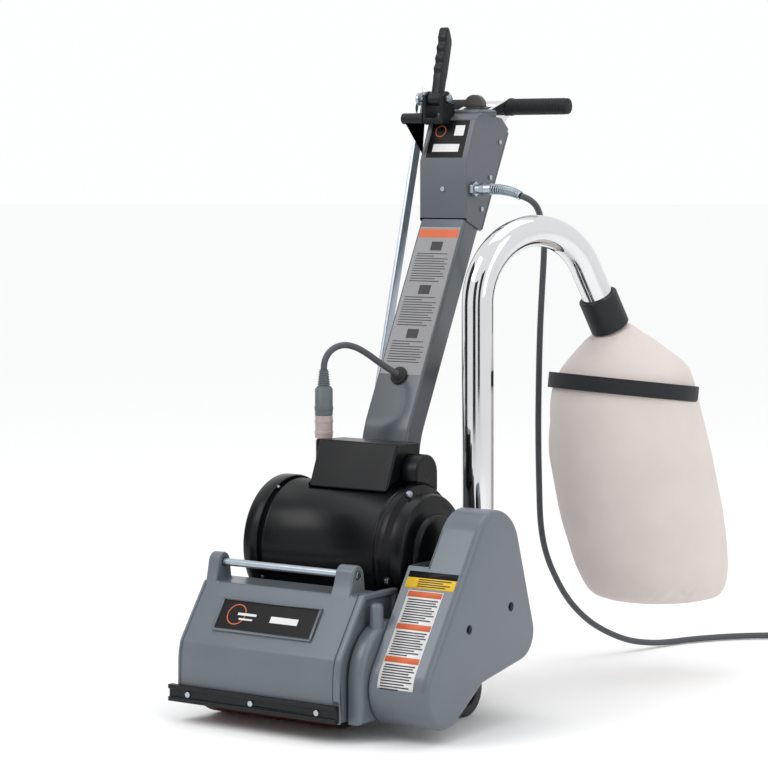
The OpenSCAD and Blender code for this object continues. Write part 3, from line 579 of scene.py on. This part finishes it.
@dataclass
class Cords:
    """The mains cord with its stored coil, and the lead between column and motor."""

    bench: Bench
    diameter: float = 9.0
    coil_centre: Point = (470.0, 1090.0)
    coil_out: float = 69.0
    coil_in: float = 39.0
    layer_turns: float = 3.25
    layer_rise: float = 9.2
    first_height: float = 4.8
    coil_start: float = 257.0
    last_turns: float = 3.05
    route: list[Place] = field(default_factory=lambda: [
        (257, 463, 688), (268, 470, 682), (272, 482, 672), (268, 500, 655), (260, 522, 632),
        (248, 541, 600), (236, 556, 552), (227, 566, 500), (220, 574, 434), (214, 582, 350),
        (210, 591, 265), (207, 601, 205), (208, 616, 160), (213, 640, 118), (219, 668, 84),
        (228, 704, 54), (240, 742, 32), (254, 782, 16), (268, 825, 7.5), (280, 862, 4.8),
        (292, 890, 4.8), (310, 922, 4.8), (332, 953, 4.8), (358, 980, 4.8), (387, 1002, 4.8),
        (415, 1013, 4.8), (438, 1017.5, 4.8)])
    tail: list[Place] = field(default_factory=lambda: [
        (440, 1158.5, 31.5), (424, 1159, 27), (410, 1161, 20), (400, 1162.5, 17), (391, 1163, 16)])

    def coil(self) -> list[Vector]:
        """Returns the coil's points, layer on layer, from its outside to its outside."""
        points = []
        angle, height = self.coil_start, self.first_height
        for layer in range(4):
            turns = self.last_turns if layer == 3 else self.layer_turns
            first, last = ((self.coil_out, self.coil_in) if layer % 2 == 0
                           else (self.coil_in, self.coil_out))
            steps = round(turns * 20)
            for i in range(steps + 1):
                radius = first + (last - first) * i / steps
                turn = math.radians(angle + 360 * turns * i / steps)
                points.append(at(self.coil_centre[0] + radius * math.cos(turn),
                                 self.coil_centre[1] + radius * math.sin(turn), height))
            angle += 360 * turns
            if layer < 3:
                for i in range(1, 5):
                    turn = math.radians(angle + 18 * i)
                    points.append(at(self.coil_centre[0] + last * math.cos(turn),
                                     self.coil_centre[1] + last * math.sin(turn),
                                     height + self.layer_rise * i / 5))
                angle += 90
                height += self.layer_rise
        return points

    def mains(self) -> bpy.types.Object:
        free = smooth_route([at(*p) for p in self.route], 6)
        tail = smooth_route([at(*p) for p in self.tail], 4)
        points = free + self.coil() + tail
        cord = self.bench.tube("mains_cord", points, self.diameter / 2, "cord_jacket", Body.MACHINE.value,
                               ("power_cord", "cord_coil"), keep_curve=True)
        LOG.info("mains cord %.2f m", length_of(points))
        return cord

    def lead(self) -> None:
        """Makes the lead that arches from the motor's connector into the column."""
        route = [(84, 230, 448), (84, 230.5, 457), (85, 233, 466), (88, 239, 475), (92, 249, 481),
                 (98, 262, 483), (105, 277, 479), (113, 292, 470), (121, 306, 459), (128, 318, 450),
                 (133, 327, 444), (136, 333, 440)]
        self.bench.tube("motor_lead_smooth", smooth_route([at(*p) for p in route], 6), 4.5,
                        "cord_jacket", Body.MACHINE.value, ("motor_lead",))
        self.bench.soften("lead_grommet", 2.0)

    def connector(self) -> None:
        """Makes the ribbed relief, the connector and its soft boot on the motor's inlet."""
        x, y = 84, 230
        ribs = [at(x, y, 427 + i * 0.55) for i in range(44)]
        swell = [(1.0 - 0.3 * i / 43) * (1.0 if i % 6 < 3 else 0.84) for i in range(44)]
        self.bench.tube("lead_relief", ribs, 9.5, "connector_plastic", Body.MACHINE.value, swell=swell)
        body = joined(rod(at(x, y, 388), at(x, y, 424), 12.3), rod(at(x, y, 395), at(x, y, 401), 12.9),
                      rod(at(x, y, 424), at(x, y, 428), 12.3, 9.5))
        self.bench.finish("lead_connector", body, "connector_plastic", Body.MACHINE.value,
                          ("lead_plug",), 0.8)
        boot = joined(rod(at(x, y, 357), at(x, y, 388), 12.4), rod(at(x, y, 362), at(x, y, 367), 12.9),
                      rod(at(x, y, 378), at(x, y, 383), 12.9))
        self.bench.finish("connector_boot", boot, "boot_clear", Body.MACHINE.value, (), 1.0)

    def gland(self) -> None:
        """Makes the gland's nut, body and coiled bend guard."""
        y, z = 465, 697
        nut = joined(rod(at(175.2, y, z), at(182, y, z), 11, sides=6), rod(at(182, y, z), at(205, y, z), 6.8),
                     rod(at(190, y, z), at(197, y, z), 9, sides=6), rod(at(197, y, z), at(209, y, z), 8.2))
        self.bench.finish("gland_body", nut, "zinc", Body.MACHINE.value, ("cord_gland",), 0.6)
        line = smooth_route([at(205, y, z), at(222, 464.6, 696.4), at(236, 464, 694.5), at(247, 463, 692),
                             at(257, 463, 688)], 40)
        guard, sweep = [], 0.0
        for i, point in enumerate(line[:-1]):
            along = (line[i + 1] - point).normalized()
            side = along.cross(Vector((0, 0, 1))).normalized()
            up = side.cross(along)
            radius = (7.2 - 1.6 * i / len(line)) * MM
            guard.append(point + radius * (math.cos(sweep) * side + math.sin(sweep) * up))
            sweep += 2 * math.pi / 8
        self.bench.tube("gland_spring", guard, 1.15, "zinc", Body.MACHINE.value, sides=2)
        self.bench.tube("gland_cord", line, 4.5, "cord_jacket", Body.MACHINE.value)


@dataclass
class DrumHousing:
    """The cast drum housing, its end covers, skirt and nameplate."""

    bench: Bench
    drum_c: Point = (92.0, 76.5)
    brow: Point = (60.0, 178.0)

    def build(self) -> None:
        """Makes the casting's pieces."""
        widths = {"drum_housing": 2.6, "side_plate": 2.5, "dust_skirt": 1.2, "lift_bar": 0.6,
                  "fan_housing": 2.0, "skirt_screws": 0.6}
        for node, width in widths.items():
            self.bench.soften(node, width)
        side = [(22, 22)] + arc(self.drum_c, 70, 180, 0, 48) + [(162, 22)]
        cap = rounded_front(slab(side, 272.3, 293), 8)
        self.bench.finish("bearing_cap_cast", cap, "grey_casting", "machine", ("bearing_cap",), angle=40)
        boss = joined(rod(at(282.5, 70, 128), at(282.5, 70, 166), 10, 8.4), rod(at(282.5, 70, 166), at(282.5, 70, 170), 8.4, 6.5))
        self.bench.finish("bearing_cap_boss", boss, "grey_casting", "machine", angle=60)

    def nameplate(self) -> None:
        """Makes the framed black plate on the casting's slope, with plain bars on it."""
        low = (self.drum_c[0] + 88 * math.cos(math.radians(160)), self.drum_c[1] + 88 * math.sin(math.radians(160)))
        rise = Vector((self.brow[0] - low[0], self.brow[1] - low[1]))
        mid = (low[0] + 0.47 * rise.x, low[1] + 0.47 * rise.y)
        tilt = Matrix.Translation(at(135, *mid)) @ Matrix.Rotation(math.atan2(rise.y, rise.x), 4, "X")
        label = Label(self.bench, tilt, 160, 48)
        label.rim("nameplate_rim", "grey_casting", 3.0, 3.2, ("nameplate",))
        label.sheet("nameplate_face", "plate_black", 1.2, 3.0)
        label.ring("nameplate_mark", "print_orange", (-50, 2), 15, 1.6, 1.25)
        label.bar("nameplate_bar_a", "print_white", (-33, 3), (30, 3.4), 1.25)
        label.bar("nameplate_bar_b", "print_white", (-33, -4), (22, 2.4), 1.25)
        label.bar("nameplate_bar_c", "print_white", (28, 0), (44, 9), 1.25)


@dataclass
class Label:
    """A flat printed plate, placed by a matrix: +X along it, +Y up it and +Z out of it."""

    bench: Bench
    place: Matrix
    width: float
    height: float
    body: str = Body.MACHINE.value

    def _plate(self, centre: Point, size: Point, base: float, thick: float) -> bmesh.types.BMesh:
        """Returns a thin block on the plate.

        Args:
            centre: Its centre on the plate, in millimetres.
            size: Its width and height.
            base: How far its back stands off the surface.
            thick: Its thickness.
        """
        bm = bmesh.new()
        bmesh.ops.create_cube(bm, size=1.0)
        bmesh.ops.scale(bm, vec=Vector((size[0], size[1], thick)) * MM, verts=bm.verts)
        bmesh.ops.translate(bm, vec=Vector((centre[0], centre[1], base + thick / 2)) * MM, verts=bm.verts)
        bmesh.ops.transform(bm, matrix=self.place, verts=bm.verts)
        return bm

    def sheet(self, name: str, look: str, thick: float, inset: float = 0.0) -> None:
        """Makes the plate's own face."""
        size = (self.width - 2 * inset, self.height - 2 * inset)
        self.bench.finish(name, self._plate((0, 0), size, 0.02, thick), look, self.body)

    def bar(self, name: str, look: str, centre: Point, size: Point, base: float) -> None:
        """Makes a printed bar, whose left end for centre[0] is its middle."""
        self.bench.finish(name, self._plate(centre, size, base, 0.12), look, self.body)

    def lines(self, name: str, look: str, left: float, tops: list[float], widths: list[float],
              base: float, thick: float = 1.3) -> None:
        """Makes rows of plain lines as one piece.

        Args:
            name: Name of the piece.
            look: Name of its material.
            left: Left end of every line.
            tops: Height of each line on the plate.
            widths: Length of each line.
            base: How far they stand off the surface.
            thick: Height of each line's mark.
        """
        rows = [self._plate((left + w / 2, t), (w, thick), base, 0.1) for t, w in zip(tops, widths)]
        self.bench.finish(name, joined(*rows), look, self.body)

    def ring(self, name: str, look: str, centre: Point, radius: float, line: float, base: float) -> None:
        """Makes a plain printed ring."""
        bm = bmesh.new()
        for size in (radius, radius - line):
            bmesh.ops.create_circle(bm, segments=48, radius=size * MM, cap_ends=False)
        bmesh.ops.bridge_loops(bm, edges=bm.edges[:])
        bmesh.ops.translate(bm, vec=Vector((centre[0], centre[1], base)) * MM, verts=bm.verts)
        bmesh.ops.transform(bm, matrix=self.place, verts=bm.verts)
        piece = self.bench.finish(name, bm, look, self.body)
        sheet = piece.modifiers.new("ink", "SOLIDIFY")
        sheet.thickness = 0.1 * MM
        sheet.offset = 0.0

    def rim(self, name: str, look: str, line: float, height: float, replaces: tuple[str, ...]) -> None:
        """Makes a raised frame round the plate."""
        w, h = self.width / 2, self.height / 2
        bars = [self._plate((0, s * (h - line / 2)), (2 * w, line), 0.02, height) for s in (-1, 1)]
        bars += [self._plate((s * (w - line / 2), 0), (line, 2 * h - 2 * line), 0.02, height) for s in (-1, 1)]
        self.bench.finish(name, joined(*bars), look, self.body, replaces, 0.7)


@dataclass
class Motor:
    """The motor: shell, turned end bells, terminal box and capacitor cover."""

    bench: Bench
    centre: Point = (206.0, 218.0)

    def build(self) -> None:
        """Makes the motor's pieces."""
        c = self.centre
        rear = [(24, 0), (24, 14), (22.5, 16), (22.5, 70), (24, 76), (27, 80), (28, 84), (30, 87),
                (33, 89), (50, 89), (53, 88), (54, 84), (54, 78)]
        front = [(244, 78), (244, 84), (246, 88), (249, 89), (257, 88), (259, 84), (262, 79), (276, 77),
                 (280, 74), (281, 60), (282, 52), (288, 50), (290, 47), (290, 12), (284, 11)]
        self.bench.finish("fan_bell_turned", turned(rear, c), "motor_black", "machine", ("fan_bell",), angle=50)
        self.bench.finish("drive_bell_turned", turned(front, c), "motor_black", "machine", ("drive_bell",),
                          angle=50)
        shell = [(53, 80), (53, 84), (58, 84), (59, 84.8), (62, 84.8), (63, 84), (236, 84), (237, 84.8),
                 (240, 84.8), (241, 84), (246, 84), (246, 80)]
        self.bench.finish("motor_shell_turned", turned(shell, c), "motor_black", "machine", ("motor_shell",),
                          angle=50)
        for node, width in {"terminal_box": 3.0, "capacitor_cover": 4.0, "motor_base": 1.0,
                            "motor_bolts": 0.4, "frame_bolts": 0.6}.items():
            self.bench.soften(node, width)


@dataclass
class BeltGuard:
    """The belt guard: one bowed outline over three pulleys, deeper at its foot."""

    bench: Bench
    circles: tuple[tuple[float, float, float], ...] = ((84, 66, 50), (203, 225, 57), (260, 114, 37))
    x_back: float = 298.0
    x_step: float = 326.0
    x_front: float = 383.0
    step_z: float = 213.0

    def outline(self) -> list[Point]:
        """Returns the guard's side outline as (y, z) points."""
        (y1, z1, r1), (y2, z2, r2), (y3, z3, r3) = self.circles

        def leave(a: Point, ra: float, b: Point, rb: float) -> float:
            """Returns the angle of the outer tangent's normal from one circle to the next."""
            run = math.hypot(b[0] - a[0], b[1] - a[1])
            return (math.degrees(math.atan2(b[1] - a[1], b[0] - a[0]))
                    + math.degrees(math.asin((rb - ra) / run)) + 90)

        first = leave((y1, z1), r1, (y2, z2), r2)
        second = leave((y2, z2), r2, (y3, z3), r3)
        return (arc((y1, z1), r1, 310, first, 34) + arc((y2, z2), r2, first, second, 26)
                + arc((y3, z3), r3, second, -82, 20) + arc((172, 74), 12, 262, 292, 4)[::-1])

    def build(self) -> None:
        """Makes the guard, its back plate and its recessed bolts."""
        upper = slab(self.outline(), self.x_step, self.x_front)
        lower = slab(self.outline(), self.x_back, self.x_step + 0.5)
        cut = bmesh.ops.bisect_plane(lower, geom=lower.verts[:] + lower.edges[:] + lower.faces[:],
                                     plane_co=at(0, 0, self.step_z), plane_no=(0, 0, 1), clear_outer=True)
        edges = [g for g in cut["geom_cut"] if isinstance(g, bmesh.types.BMEdge)]
        bmesh.ops.edgeloop_fill(lower, edges=edges)
        rounded_front(upper, 9)
        self.bench.finish("guard_cover", joined(upper, lower), "grey_sheet", "machine", ("belt_guard",),
                          angle=40)
        self.bench.soften("guard_backplate", 0.6)
        for i, c in enumerate(((234, 153), (133, 137))):
            seat = joined(rod(at(382.4, *c), at(383.2, *c), 6.2), rod(at(383.1, *c), at(384.4, *c), 4, sides=6))
            self.bench.finish(f"guard_bolt_{i + 1}", seat, "black_oxide", "machine",
                              ("guard_bolts",) if i == 0 else ())

    def strip(self, name: str, look: str, spans: list[tuple[float, float, float, float]], lift: float) -> None:
        """Makes printed patches that follow the guard's curved rim, as one piece.

        Args:
            name: Name of the piece.
            look: Name of its material.
            spans: For each patch its two X ends and its two distances along the rim from the foot of
                the straight front slope.
            lift: How far the patches stand off the rim, in millimetres.
        """
        rim = self.outline()
        zero = sum(math.dist(a, b) for a, b in zip(rim[:34], rim[1:35]))
        bm = bmesh.new()
        for x0, x1, start, end in spans:
            stations = max(2, int((end - start) / 4) + 1)
            rows = []
            for k in range(stations):
                want = zero + start + (end - start) * k / (stations - 1)
                for a, b in zip(rim, rim[1:]):
                    step = math.dist(a, b)
                    if want <= step:
                        break
                    want -= step
                out = (-(b[1] - a[1]) / step * lift, (b[0] - a[0]) / step * lift)
                spot = [a[i] + (b[i] - a[i]) * want / step + out[i] for i in (0, 1)]
                rows.append([bm.verts.new(at(x, *spot)) for x in (x0, x1)])
            for low, high in zip(rows, rows[1:]):
                bm.faces.new((low[0], low[1], high[1], high[0]))
        piece = self.bench.finish(name, bm, look, "machine", angle=60)
        ink = piece.modifiers.new("ink", "SOLIDIFY")
        ink.thickness = 0.12 * MM
        ink.offset = 0.0

    def labels(self) -> None:
        """Makes a plain yellow label and a plain striped label on the guard's front."""
        self.strip("warning_label", "print_yellow", [(300, 375, 113.5, 128.5)], 0.15)
        self.strip("warning_label_head", "print_black", [(300, 375, 128.5, 137.5)], 0.15)
        self.strip("warning_label_lines", "print_ink",
                   [(318, 318 + w, 116 + 3.1 * k, 117.5 + 3.1 * k) for k, w in enumerate((44, 50, 38, 50))], 0.3)
        self.strip("notice_label", "print_white", [(308, 362, -25.5, 110.5)], 0.15)
        bands = (101.5, 55.5, 9.5)
        self.strip("notice_label_bands", "print_orange", [(309, 361, b, b + 8) for b in bands], 0.3)
        widths = (46, 44, 47, 40, 45, 43, 47, 36, 44, 28)
        rows = [(312, 312 + w, b - 4.6 - 3.5 * k, b - 2.9 - 3.5 * k)
                for b in bands for k, w in enumerate(widths)]
        self.strip("notice_label_lines", "print_ink", rows, 0.3)


@dataclass
class Column:
    """The bent column, its label, the control box and the handle."""

    bench: Bench
    lean: float = 27.0

    def build(self) -> None:
        """Makes the column's and the box's pieces."""
        for node, width in {"column": 4.0, "column_foot": 2.0, "control_box": 1.6, "box_cover": 1.0,
                            "box_screws": 0.4, "lever_bracket": 1.2, "handle_bar": 0.6, "control_rod": 0.8,
                            "power_switch": 1.5, "truck": 1.0, "wheel_left": 2.0, "wheel_right": 2.0,
                            "bag_cuff": 1.5, "plug": 1.2}.items():
            self.bench.soften(node, width)

    def on_front(self, z: float, out: float = 0.0) -> Matrix:
        """Returns the place on the column's front face at height z: +X right, +Y up, +Z out."""
        y = 313.1 + (z - 385.2) * math.tan(math.radians(self.lean))
        lift = math.radians(self.lean)
        return (Matrix.Translation(at(135, y - out * math.cos(lift), z + out * math.sin(lift)))
                @ Matrix.Rotation(math.radians(90 - self.lean), 4, "X"))

    def collar(self) -> None:
        """Makes the raised collar round the switch on the box's top."""
        collar = block((124, 488, 800), (172, 538, 811))
        self.bench.finish("switch_collar", collar, "box_grey", "machine", (), 4.0)

    def label(self) -> None:
        """Makes the long silver label with plain lines and three plain squares."""
        label = Label(self.bench, self.on_front(541), 68, 228)
        label.sheet("column_label", "print_silver", 0.25)
        label.bar("column_label_head", "print_orange", (0, 104), (66, 13), 0.26)
        for k in range(3):
            top = 84 - 68 * k
            label.bar(f"column_label_square_{k + 1}", "print_ink", (2, top), (19, 14), 0.26)
            rows = [top - 12 - 3.9 * j for j in range(12 if k < 2 else 9)]
            label.lines(f"column_label_lines_{k + 1}", "print_ink", -28, rows,
                        [52, 30, 55, 50, 56, 52, 55, 48, 54, 56, 42, 50][:len(rows)], 0.26, 1.3)

    def box_label(self) -> None:
        """Makes the black label on the control box, with plain light bars."""
        place = (Matrix.Translation(at(135, 463.0, 768.5))
                 @ Matrix.Rotation(math.atan2(60, 25), 4, "X"))
        label = Label(self.bench, place, 62, 58)
        label.sheet("box_label", "print_black", 0.25)
        label.ring("box_label_ring", "print_orange", (-15, 12), 9, 1.2, 0.26)
        label.bar("box_label_square", "print_white", (17, 13), (16, 16), 0.26)
        label.bar("box_label_bar", "print_white", (0, -14), (44, 12), 0.26)

    def grips(self) -> None:
        """Makes the two ribbed hand grips with their end flanges."""
        for name, side, nodes in (("grip_right", 1, ("grips",)), ("grip_left", -1, ())):
            inner, outer = 29.0, 130.0
            profile = [(inner, 9.5), (inner, 12.4), (inner + 2, 13), (inner + 6, 13), (inner + 8, 11.6)]
            x = inner + 10
            while x < outer - 8:
                profile += [(x, 11.5), (x + 1.0, 12.1), (x + 2.6, 12.1), (x + 3.6, 11.5)]
                x += 5.0
            profile += [(outer - 3, 11.8), (outer - 1, 11.2), (outer, 9), (outer, 0)]
            bm = turned([(135 + side * px, r) for px, r in profile], (583, 816), 48)
            self.bench.finish(name, bm, "grip_rubber", "machine", nodes, angle=50)


@dataclass
class LiftLever:
    """The moulded lift lever on its pivot."""

    bench: Bench
    pivot: Point = (466.0, 826.0)
    lean: float = 14.0
    arm: float = 4.5

    def build(self) -> None:
        """Makes the grip with its finger grooves, the hub, the pin and the crank arm."""
        y0, z0 = self.pivot
        waves = [(-9.2 + 1.4 * math.cos(2 * math.pi * (v - 36) / 15.5), v) for v in range(93, 30, -3)]
        side = ([(7, -4), (7.3, 26), (8.4, 36), (8.8, 60), (8.6, 84), (7.2, 90), (1, 99), (-3, 104),
                 (-6, 105.5), (-8.6, 103.5), (-9.6, 99)] + waves + [(-7.5, 26), (-7, -4)])
        lean = math.radians(self.lean)
        outline = [(y0 + u * math.cos(lean) + v * math.sin(lean), z0 + v * math.cos(lean) - u * math.sin(lean))
                   for u, v in side]
        grip = slab(outline, 107, 122)
        rims = [e for e in grip.edges if abs(e.verts[0].co.x - e.verts[1].co.x) < 1e-6]
        bmesh.ops.bevel(grip, geom=rims, offset=2.4 * MM, offset_type="OFFSET", segments=4, profile=0.5,
                        affect="EDGES", material=-1, clamp_overlap=False)
        self.bench.finish("lever_grip", grip, "lever_plastic", "lift_lever", ("control_lever",), angle=50)
        self.bench.finish("lever_hub", rod(at(104.2, y0, z0), at(125.8, y0, z0), 10), "lever_plastic",
                          "lift_lever", (), 0.8)
        pin = joined(rod(at(84, y0, z0), at(139, y0, z0), 3.9),
                     rod(at(132.6, y0, z0), at(137, y0, z0), 7, sides=6))
        self.bench.finish("lever_pin", pin, "zinc", "lift_lever", (), 0.5)
        far = (y0 + 25 * math.cos(math.radians(self.arm)), z0 + 25 * math.sin(math.radians(self.arm)))
        plate = arc(self.pivot, 9.5, 94.5, 264.5, 16) + arc(far, 10.5, -85.5, 94.5, 20)
        crank = slab(plate, 83, 87.5)
        self.bench.finish("lever_crank", crank, "zinc", "lift_lever", (), 0.6)


@dataclass
class DustBag:
    """The cotton dust bag, blown up by a cloth simulation, with its zip band."""

    bench: Bench
    voxel: float = 6.0
    pressure: float = 4.0

    def cloth(self) -> bpy.types.Object:
        """Returns the bag after its cloth has been blown up and let crease."""
        source = frame["nodes"]["dust_bag"]
        bm = bmesh.new()
        bm.from_mesh(source.data)
        bmesh.ops.remove_doubles(bm, verts=bm.verts, dist=1e-5)
        mesh = bpy.data.meshes.new("dust_bag_cloth")
        bm.to_mesh(mesh)
        bm.free()
        bag = self.bench.adopt("dust_bag_cloth", mesh, "bag_cotton", "machine", ("dust_bag",), angle=180)
        remesh = bag.modifiers.new("even_mesh", "REMESH")
        remesh.mode = "VOXEL"
        remesh.voxel_size = self.voxel * MM
        self._apply(bag)
        self._relax(bag)
        self._blow(bag)
        finer = bag.modifiers.new("finer", "SUBSURF")
        finer.levels = 1
        finer.render_levels = 1
        return bag

    @staticmethod
    def _apply(piece: bpy.types.Object) -> None:
        """Bakes a piece's modifiers into its mesh."""
        done = bpy.data.meshes.new_from_object(piece.evaluated_get(bpy.context.evaluated_depsgraph_get()))
        piece.modifiers.clear()
        old = piece.data
        piece.data = done
        bpy.data.meshes.remove(old)
        done.shade_smooth()

    @staticmethod
    def _relax(piece: bpy.types.Object) -> None:
        """Rounds off the plain solid's hard rings."""
        bm = bmesh.new()
        bm.from_mesh(piece.data)
        for _ in range(14):
            bmesh.ops.smooth_vert(bm, verts=bm.verts, factor=0.5, use_axis_x=True, use_axis_y=True,
                                  use_axis_z=True)
        bm.to_mesh(piece.data)
        bm.free()

    def _blow(self, bag: bpy.types.Object) -> None:
        """Runs the cloth over the bag, held at its neck."""
        low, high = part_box("dust_bag")
        held = bag.vertex_groups.new(name="held")
        neck = high.z - 0.03
        for v in bag.data.vertices:
            if v.co.z > neck:
                held.add([v.index], min(1.0, (v.co.z - neck) / 0.02), "REPLACE")
        cloth = bag.modifiers.new("cloth", "CLOTH")
        settings = cloth.settings
        settings.quality = 6
        settings.mass = 0.08
        settings.tension_stiffness = 18
        settings.compression_stiffness = 18
        settings.bending_stiffness = 0.25
        settings.use_pressure = True
        settings.uniform_pressure_force = self.pressure
        settings.shrink_min = -0.045
        settings.vertex_group_mass = "held"
        settings.effector_weights.gravity = 0.0
        cloth.point_cache.frame_start = 1
        cloth.point_cache.frame_end = 20
        scene = bpy.context.scene
        for step in range(1, 21):
            scene.frame_set(step)
        self._apply(bag)
        scene.frame_set(1)

    def zip_band(self) -> None:
        """Makes the black zip band round the bag from the CAD zip, with rounded edges."""
        node = frame["nodes"]["bag_zip"]
        bm = bmesh.new()
        bm.from_mesh(node.data)
        bmesh.ops.remove_doubles(bm, verts=bm.verts, dist=1e-5)
        mesh = bpy.data.meshes.new("bag_zip_band")
        bm.to_mesh(mesh)
        bm.free()
        self.bench.adopt("bag_zip_band", mesh, "zip_tape", "machine", ("bag_zip",), 1.0)


@dataclass
class Studio:
    """Floor, backdrop, lights and camera."""

    azimuth: float = 34.5
    eye: Place = (2232.7, -2750.8, 731.0)
    focal: float = 125.6
    shift: float = -0.285

    def camera(self) -> None:
        """Makes the camera, level, with its frame shifted down."""
        lens = bpy.data.cameras.new("view_camera")
        lens.lens = self.focal
        lens.sensor_width = 36.0
        lens.shift_y = self.shift
        lens.clip_end = 50.0
        camera = bpy.data.objects.new("view_camera", lens)
        bpy.context.scene.collection.objects.link(camera)
        camera.location = at(*self.eye)
        camera.rotation_euler = (math.pi / 2, 0.0, math.radians(self.azimuth))
        bpy.context.scene.camera = camera

    def surroundings(self) -> None:
        """Makes the pale floor and the pale sky."""
        bm = bmesh.new()
        bmesh.ops.create_grid(bm, x_segments=1, y_segments=1, size=120.0)
        bmesh.ops.translate(bm, verts=bm.verts, vec=Vector((0, 0, -0.0008)))
        mesh = bpy.data.meshes.new("studio_floor")
        bm.to_mesh(mesh)
        bm.free()
        floor = bpy.data.objects.new("studio_floor", mesh)
        bpy.context.scene.collection.objects.link(floor)
        paper = bpy.data.materials.new("floor_paper")
        paper.use_nodes = True
        paper.node_tree.nodes["Principled BSDF"].inputs["Base Color"].default_value = (0.96, 0.96, 0.96, 1)
        paper.node_tree.nodes["Principled BSDF"].inputs["Roughness"].default_value = 1.0
        paper.node_tree.nodes["Principled BSDF"].inputs["Specular IOR Level"].default_value = 0.0
        mesh.materials.append(paper)
        bpy.context.scene.view_settings.view_transform = "Standard"
        world = bpy.data.worlds.new("studio_sky")
        world.use_nodes = True
        sky = world.node_tree.nodes["Background"]
        sky.inputs["Color"].default_value = (0.99, 0.995, 1.0, 1.0)
        sky.inputs["Strength"].default_value = 1.0
        bpy.context.scene.world = world

    def card(self, name: str, place: Place, size: Point) -> None:
        """Makes a dark studio card outside the view, for the chrome and the black paint to reflect.

        Args:
            name: Name of the card.
            place: Its middle, in machine millimetres.
            size: Its width and height in metres.
        """
        bm = bmesh.new()
        bmesh.ops.create_grid(bm, x_segments=1, y_segments=1, size=0.5)
        bmesh.ops.scale(bm, vec=(size[0], size[1], 1.0), verts=bm.verts)
        turn = (at(264, 340, 500) - at(*place)).to_track_quat("Z", "Y").to_matrix().to_4x4()
        bmesh.ops.transform(bm, matrix=Matrix.Translation(at(*place)) @ turn, verts=bm.verts)
        mesh = bpy.data.meshes.new(name)
        bm.to_mesh(mesh)
        bm.free()
        card = bpy.data.objects.new(name, mesh)
        bpy.context.scene.collection.objects.link(card)
        felt = bpy.data.materials.new(name + "_felt")
        felt.use_nodes = True
        felt.node_tree.nodes["Principled BSDF"].inputs["Base Color"].default_value = (0.02, 0.02, 0.022, 1)
        felt.node_tree.nodes["Principled BSDF"].inputs["Roughness"].default_value = 1.0
        mesh.materials.append(felt)

    def light(self, name: str, place: Place, target: Place, size: Point, watts: float) -> None:
        """Makes one soft rectangular light.

        Args:
            name: Name of the light.
            place: Where it hangs, in machine millimetres.
            target: What it points at.
            size: Its width and height in metres.
            watts: Its power.
        """
        lamp = bpy.data.lights.new(name, "AREA")
        lamp.shape = "RECTANGLE"
        lamp.size, lamp.size_y = size
        lamp.energy = watts
        holder = bpy.data.objects.new(name, lamp)
        bpy.context.scene.collection.objects.link(holder)
        holder.location = at(*place)
        holder.rotation_euler = (at(*target) - at(*place)).to_track_quat("-Z", "Y").to_euler()


def main() -> None:
    """Builds the scene in order: camera, cords, machine, bag, studio."""
    logging.basicConfig(level=logging.INFO, format="%(message)s")
    studio = Studio()
    studio.camera()
    shop = Paintshop()
    shop.dress_cad()
    bench = Bench(shop)
    cords = Cords(bench)
    cords.mains()
    cords.lead()
    cords.connector()
    cords.gland()
    housing = DrumHousing(bench)
    housing.build()
    housing.nameplate()
    Motor(bench).build()
    guard = BeltGuard(bench)
    guard.build()
    guard.labels()
    column = Column(bench)
    column.build()
    column.collar()
    column.label()
    column.box_label()
    column.grips()
    LiftLever(bench).build()
    bag = DustBag(bench)
    bag.cloth()
    bag.zip_band()
    studio.surroundings()
    studio.card("left_card", (-2300, -1100, 1000), (1.5, 3.0))
    studio.card("rear_card", (3300, -3300, 1200), (1.3, 3.0))
    studio.card("front_card", (700, -3300, 700), (1.3, 2.6))
    studio.light("key_light", (-900, -1700, 2300), (150, 200, 350), (1.4, 1.4), 22)
    studio.light("side_light", (2300, -300, 1500), (200, 250, 350), (0.6, 2.0), 8)
    studio.light("top_light", (200, 500, 2600), (200, 300, 300), (1.6, 1.6), 10)
    LOG.info("%d pieces", bench.made)


if __name__ == "__main__":
    main()
